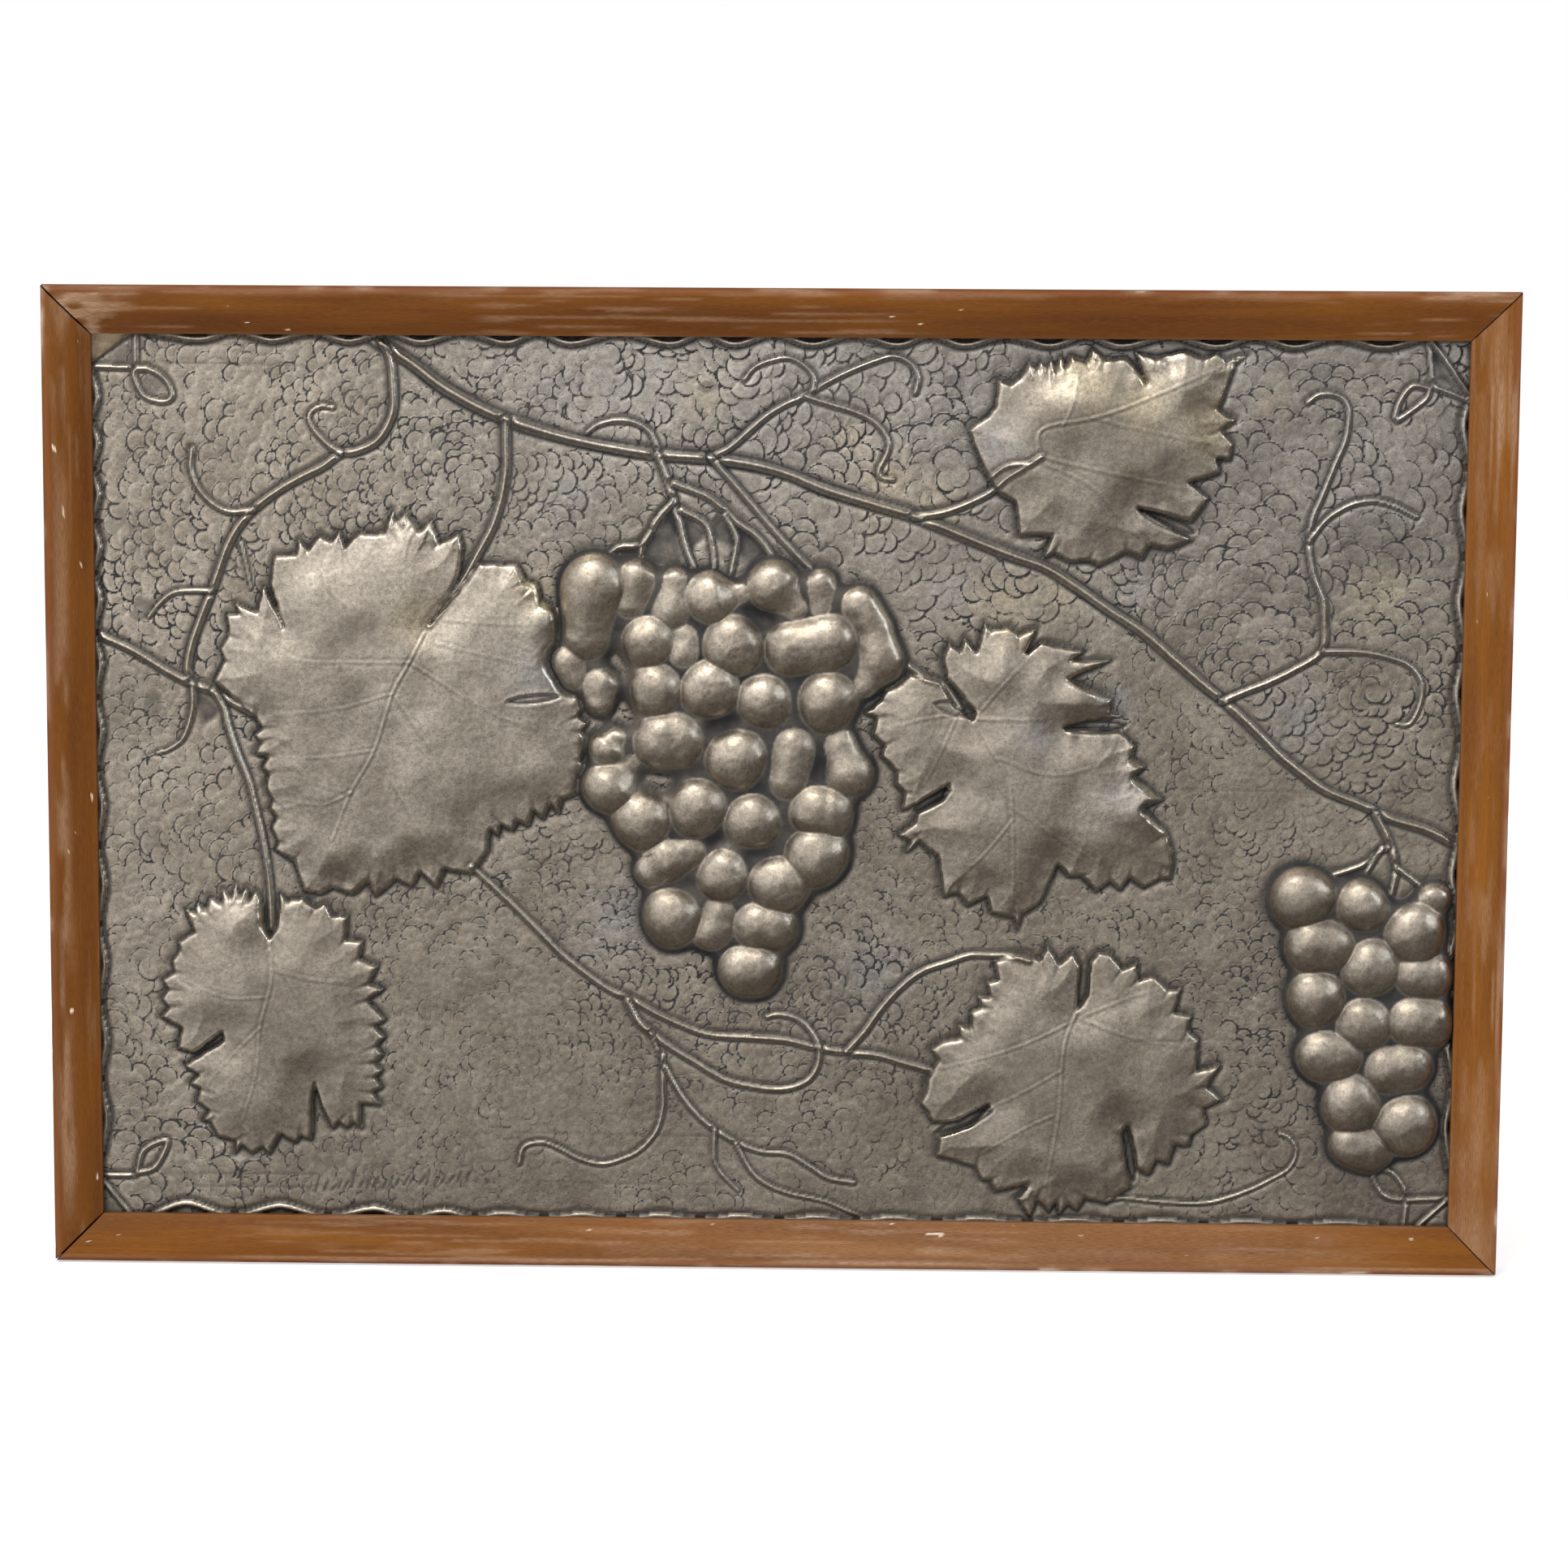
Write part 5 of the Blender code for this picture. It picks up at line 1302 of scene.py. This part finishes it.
def make_rail(name, length, reach, turn, corners, seed, wear_and_painted_shade):
    """A rail built as the bottom one, then turned about Y. The corners are at its -X and +X ends."""
    section = rail_section()
    along = mitred_rows(section, length, corners)
    rows = len(along)
    inward, depth = (np.tile(values, (rows, 1)) for values in section.T)
    face = (depth > RAIL_DEPTH - FACE_REACH) & (inward < RAIL_WIDTH) | (inward < 0.01) & (depth > 2)
    bowed = 0.12 * (1 + rough_noise(70, seed, along, inward * 3 + depth)) * face
    dents = smooth(0.62, 0.95, noise(7, seed + 4, along, inward * 2 + depth)) * 0.35 * face
    rubbed = smooth(0.1, 0.8, noise(11, seed + 6, along, depth)) * face
    edge_wear = bell(inward - 0.9, 1.1) * rubbed * smooth(RAIL_DEPTH - 4, RAIL_DEPTH - 1, depth)
    worn, shade = wear_and_painted_shade(along, inward, seed)
    lost = bowed + dents + 0.35 * edge_wear + 0.25 * worn
    depth = depth - lost * (depth > LIP_FRONT - 1.5) * face
    points = np.stack([along, -depth, inward - reach], axis=-1).reshape(-1, 3)
    points = points @ np.array(Matrix.Rotation(turn, 3, "Y")).T
    number = np.arange(points.shape[0]).reshape(rows, len(section))
    after = np.roll(number, -1, axis=1)
    quads = np.stack([number[:-1], number[1:], after[1:], after[:-1]], axis=-1).reshape(-1, 4)
    obj = build_mesh(name, points / 1000, [*quads, number[0], number[-1][::-1]])
    obj.data.set_sharp_from_angle(angle=SHARP_EDGE)
    # each rail reads its own part of the grain
    grain = obj.data.attributes.new("grain", "FLOAT_VECTOR", "POINT")
    apart = np.full(along.shape, GRAIN_ACROSS * seed)
    own = np.stack([along + GRAIN_ALONG * seed, inward + 0.6 * depth, apart], axis=-1)
    grain.data.foreach_set("vector", own.astype(np.float32).ravel())
    chip = edge_wear * 0.6 * smooth(0.2, 0.6, noise(33, seed + 9, along, depth))
    # painted shade: the last row at each end is dark, standing in for the shadow in the open mitre
    shade[[0, -1]] = 0
    for key, values in (
        ("inward", np.where(depth > SIDE_DEPTH, inward, SIDE_INWARD)),
        ("worn", np.clip(worn + 0.8 * edge_wear, 0, 1)),
        ("shade", shade),
        ("chip", np.clip(chip + chips(along, inward, seed), 0, 1)),
    ):
        add_attribute(obj, key, values.ravel())
    return obj


def streaks(along, inward, seed, centre, width):
    """A worn band along a rail, broken into long streaks."""
    broken = noise(38, seed + 20, along, inward) + 0.7 * noise(14, seed + 21, along, inward * 7)
    return bell(inward - centre, width) * smooth(-0.2, 0.5, broken)


def chips(along, inward, seed):
    """Few small chips down to the bare wood."""
    allowed = noise(70, seed + 61, along, inward) > 0.1
    return smooth(0.86, 0.98, noise(4.0, seed + 60, along, inward * 3)) * allowed


def scratches(along, inward, seed, length, amount):
    """Fine scratches along the grain. The amount is the share of places that have one."""
    lines = smooth(1 - 1.6 * amount, 1 - 0.8 * amount, noise(length, seed, along, inward * length / 1.1))
    return lines * smooth(-0.5, 0.3, noise(60, seed + 1, along, inward * 3))


def wear_and_painted_shade_top(along, inward, seed):
    """The top rail is darker with painted shade, most of all towards its lip, and is chipped at its left end.
    """
    near_end = smooth(262, 303, along) * smooth(-0.1, 0.4, noise(7, seed + 30, along, inward * 2))
    fine = scratches(along, inward, seed + 32, 26, 0.45)
    lighter = 0.25 * streaks(along, inward, seed, 3, 1.5)
    return np.clip(lighter + 0.35 * fine + near_end, 0, 1), 0.78 - 0.20 * smooth(3, 18, inward)


def wear_and_painted_shade_left(along, inward, seed):
    """A long, soft streak lies a third of the way in, and is stronger lower down. Painted shade darkens the
    rail, more towards its lip.
    """
    low = smooth(-150, 100, along)
    middle = 6.5 + 0.8 * line_noise(90, seed + 33, along)
    band = streaks(along, inward, seed, middle, 2.4)
    band += 0.6 * streaks(along, inward, seed + 50, middle + 2.5, 1.6)
    top_end = smooth(-180, -203, along) * smooth(0, 0.5, noise(5, seed + 30, along, inward * 2))
    worn = (0.28 + 0.32 * low) * smooth(200, 150, along) * band
    worn += 0.2 * scratches(along, inward, seed + 34, 30, 0.3)
    return np.clip(worn + 0.6 * top_end, 0, 1), 0.76 - 0.10 * smooth(8, 18, inward)


def wear_and_painted_shade_right(along, inward, seed):
    """Whitish scratches and rubbed patches, most of them lower down, and a little painted shade at the outer
    edge.
    """
    lines = scratches(along, inward, seed + 22, 34, 0.55)
    band = streaks(along, inward, seed, 9, 3.5) + 0.7 * streaks(along, inward, seed + 40, 15, 2)
    low_end = smooth(-120, -200, along) * (0.5 + 0.5 * noise(20, seed + 41, along, inward))
    worn = 0.60 * lines + 0.30 * band + 0.40 * low_end
    return np.clip(worn, 0, 1), 0.93 + 0.06 * smooth(2, 6, inward)


def wear_and_painted_shade_bottom(along, inward, seed):
    """A light line runs above the lower edge, which painted shade makes dark, and the stain turns greyer to
    the right.
    """
    line = bell(inward - 2.8, 0.6) * smooth(-0.6, 0.2, noise(45, seed + 24, along, inward))
    greyed = 0.24 * smooth(-200, 60, along) * smooth(290, 180, along)
    lines = scratches(along, inward, seed + 26, 28, 0.5)
    worn = 0.60 * line + greyed + 0.36 * lines + 0.15 * streaks(along, inward, seed, 8, 3)
    return np.clip(worn, 0, 1), 0.92 - 0.40 * smooth(2.4, 0.6, inward)


# Colours of the rails' wood
STAIN = (0.108, 0.034, 0.001), (0.21, 0.073, 0.002)
FIBRE = (0.13, 0.032, 0.006)
LIGHT_GRAIN = (0.37, 0.14, 0.014)
OUTER_BAND = (0.26, 0.088, 0.034)
LIP_WOOD = (0.20, 0.075, 0.02)
# the colour of the painted shade on the rails
PAINTED_SHADE_WOOD = (0.030, 0.004, 0.001)
RUBBED_WOOD = (0.38, 0.245, 0.155)
BARE_WOOD = (0.66, 0.54, 0.42)


def wood_material():
    """Stained wood with grain along each rail, darker and lighter bands, rubbed streaks and chips, and
    painted shade.
    """
    material, nodes, shader = new_material("stained_wood_worn")
    grain = nodes.attribute("grain", "Vector")
    inward, worn, chip, shade = (nodes.attribute(name) for name in ("inward", "worn", "chip", "shade"))
    broad = nodes.noise(nodes.scaled(grain, (0.010, 0.16, 1.0)), 1.0, 3, 0.55)
    fibres = nodes.noise(nodes.scaled(grain, (0.035, 1.5, 1.0)), 1.0, 4, 0.65)
    fine = nodes.noise(nodes.scaled(grain, (0.25, 6.0, 1.0)), 1.0, 2, 0.6)
    blotch = nodes.noise(nodes.scaled(grain, (0.08, 0.25, 1.0)), 1.0, 2, 0.5)
    stain = nodes.mixed(nodes.ranged(broad, 0.3, 0.7, 0, 1), *STAIN)
    stain = nodes.mixed(nodes.ranged(fibres, 0.35, 0.7, 0.0, 0.55), stain, FIBRE)
    stain = nodes.mixed(nodes.ranged(fine, 0.4, 0.75, 0.0, 0.30), stain, LIGHT_GRAIN)
    blotched = nodes.ranged(blotch, 0.2, 0.8, 0.6, 1.2)
    band = nodes.times(nodes.ranged(inward, 3.8, 2.2, 0, 0.50), blotched)
    stain = nodes.mixed(band, stain, OUTER_BAND)
    stain = nodes.mixed(nodes.ranged(inward, 18.6, 20.0, 0, 0.55), stain, LIP_WOOD)
    # painted shade: each rail darker by its own amount, the top and left ones more towards the lip, the
    # bottom and right ones at the outer edge
    stain = nodes.mixed(nodes.ranged(shade, 0.0, 1.0, 1.0, 0.0), stain, PAINTED_SHADE_WOOD)
    rubbed = nodes.times(worn, nodes.ranged(fine, 0.35, 0.6, 0.35, 1.0))
    color = nodes.mixed(rubbed, stain, RUBBED_WOOD)
    bare = nodes.times(chip, nodes.ranged(fine, 0.35, 0.6, 0.5, 1.2))
    color = nodes.mixed(nodes.ranged(bare, 0.35, 0.75, 0, 1), color, BARE_WOOD)
    nodes.fill(shader["Base Color"], color)
    rough = nodes.plus(nodes.ranged(fibres, 0.3, 0.7, 0.36, 0.5), nodes.times(worn, 0.2))
    nodes.fill(shader["Roughness"], rough)
    shader["Specular IOR Level"].default_value = 0.18
    nodes.fill(shader["Normal"], nodes.bump(nodes.plus(fibres, nodes.times(fine, 0.5)), 0.0002, 0.55))
    return material


# Colours of the board: its fibres, its blotches and its flecks
BOARD_FIBRES = (0.33, 0.235, 0.14), (0.52, 0.41, 0.27)
BOARD_BLOTCH = (0.26, 0.18, 0.11)
BOARD_FLECK = (0.14, 0.09, 0.05)


def board_material():
    """Raw fibre board."""
    material, nodes, shader = new_material("fibre_board_raw")
    where = nodes.place()
    fibres = nodes.noise(nodes.scaled(where, (300, 300, 900)), 1.0, 4, 0.7)
    blotch = nodes.noise(where, 18, 3, 0.6)
    flecks = nodes.noise(nodes.scaled(where, (1500, 1500, 500)), 1.0, 2, 0.6)
    color = nodes.mixed(nodes.ranged(fibres, 0.3, 0.7, 0, 1), *BOARD_FIBRES)
    color = nodes.mixed(nodes.ranged(blotch, 0.45, 0.75, 0, 0.4), color, BOARD_BLOTCH)
    color = nodes.mixed(nodes.ranged(flecks, 0.62, 0.75, 0, 0.6), color, BOARD_FLECK)
    nodes.fill(shader["Base Color"], color)
    nodes.fill(shader["Roughness"], nodes.ranged(fibres, 0.2, 0.8, 0.8, 0.95))
    nodes.fill(shader["Normal"], nodes.bump(nodes.plus(fibres, flecks), 0.0004, 0.7))
    return material


wood = wood_material()
outer_x, outer_z = 2 * (SIGHT_X + RAIL_WIDTH), 2 * (SIGHT_Z + RAIL_WIDTH)
quarter = math.pi / 2
for name, length, across, turn, corners, seed, wear_and_painted_shade in (
    ("bottom", outer_x, outer_z, 0, ("bottom_left", "bottom_right"), 1, wear_and_painted_shade_bottom),
    ("left", outer_z, outer_x, quarter, ("top_left", "bottom_left"), 2, wear_and_painted_shade_left),
    ("top", outer_x, outer_z, 2 * quarter, ("top_right", "top_left"), 3, wear_and_painted_shade_top),
    ("right", outer_z, outer_x, -quarter, ("bottom_right", "top_right"), 4, wear_and_painted_shade_right),
):
    rail = make_rail("rail_" + name, length, across / 2, turn, corners, seed, wear_and_painted_shade)
    rail.data.materials.append(wood)
    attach(rail, "root")
    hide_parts("frame_rail_" + name)

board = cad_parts["backing_board"]
board_look = board_material()
for slot in board.material_slots:
    slot.material = board_look

# The studio, in metres. The floor is just under the panel. A light is its place, size, power and colour
FLOOR_REACH = 6.0
FLOOR_LEVEL = -0.2062
FLOOR_COLOR = (0.80, 0.80, 0.80, 1)
FLOOR_GLOW = 0.55
LIGHTS = {
    "key": ((-0.5, -1.2, 1.8), (0.6, 0.35), 14, (1.0, 0.94, 0.84)),
    "side": ((1.7, -0.9, 0.8), (0.35, 0.8), 8, (0.84, 0.92, 1.0)),
}
BRIGHTEST_WAY = (-0.45, -0.60, 0.66)
ROOM_DIM = (0.135, 0.118, 0.10)
ROOM_BRIGHT = (1.74, 1.74, 1.76)

# The camera, solved on the frame's four corners. Its focal length is in pixels of the photograph
PHOTO_WIDTH = 1932
FOCAL_LENGTH = 4200
SENSOR_WIDTH = 36.0
CAMERA_PLACE = (0.031, -1.432, 0.146)
CAMERA_FORWARD = (-0.0193, 0.9946, -0.1023)
CAMERA_UP = (-0.0082, 0.1021, 0.9947)


def stage_floor():
    """A plain pale floor that glows a little and isn't seen in reflections."""
    mesh = bpy.data.meshes.new("floor")
    corners = ((-1, -1), (1, -1), (1, 1), (-1, 1))
    points = [(x * FLOOR_REACH, y * FLOOR_REACH, FLOOR_LEVEL) for x, y in corners]
    mesh.from_pydata(points, [], [(0, 1, 2, 3)])
    floor = bpy.data.objects.new("floor", mesh)
    bpy.context.scene.collection.objects.link(floor)
    material, _, shader = new_material("floor_pale")
    shader["Base Color"].default_value = FLOOR_COLOR
    shader["Roughness"].default_value = 0.9
    shader["Emission Color"].default_value = (1, 1, 1, 1)
    shader["Emission Strength"].default_value = FLOOR_GLOW
    mesh.materials.append(material)
    floor.visible_glossy = False


def area_light(name, place, size, power, color):
    """A soft light that points at the panel's middle."""
    light = bpy.data.lights.new(name, "AREA")
    light.shape = "RECTANGLE"
    light.size, light.size_y = size
    light.energy = power
    light.color = color
    obj = bpy.data.objects.new(name, light)
    obj.location = place
    obj.rotation_euler = (-Vector(place)).to_track_quat("-Z", "Y").to_euler()
    bpy.context.scene.collection.objects.link(obj)


def set_world():
    """A pale studio: white behind the panel, and in front of it brightest towards the upper left."""
    world = bpy.data.worlds.new("studio")
    bpy.context.scene.world = world
    world.use_nodes = True
    nodes = Nodes(world.node_tree)
    background = world.node_tree.nodes["Background"].inputs
    where = nodes.place("Generated")
    towards = nodes.add("VectorMath", {0: where, 1: BRIGHTEST_WAY}, operation="DOT_PRODUCT")
    lit = nodes.math("POWER", nodes.ranged(towards.outputs["Value"], 0.05, 1.0, 0, 1), 1.8)
    room = nodes.mixed(lit, ROOM_DIM, ROOM_BRIGHT)
    seen = nodes.add("LightPath").outputs["Is Camera Ray"]
    nodes.fill(background["Color"], nodes.mixed(seen, room, (1.0, 1.0, 1.0)))
    background["Strength"].default_value = 1.0


def make_camera():
    """A camera at the photograph's viewing angle."""
    camera = bpy.data.cameras.new("camera")
    camera.sensor_width = SENSOR_WIDTH
    camera.lens = FOCAL_LENGTH * SENSOR_WIDTH / PHOTO_WIDTH
    obj = bpy.data.objects.new("camera", camera)
    forward = Vector(CAMERA_FORWARD).normalized()
    right = forward.cross(Vector(CAMERA_UP).normalized()).normalized()
    up = right.cross(forward).normalized()
    turned = Matrix((right, up, -forward)).transposed()
    obj.matrix_world = Matrix.Translation(CAMERA_PLACE) @ turned.to_4x4()
    bpy.context.scene.collection.objects.link(obj)
    bpy.context.scene.camera = obj


stage_floor()
for name, settings in LIGHTS.items():
    area_light(name, *settings)
set_world()
make_camera()
bpy.context.scene.view_settings.view_transform = "Standard"
bpy.context.scene.view_settings.look = "None"
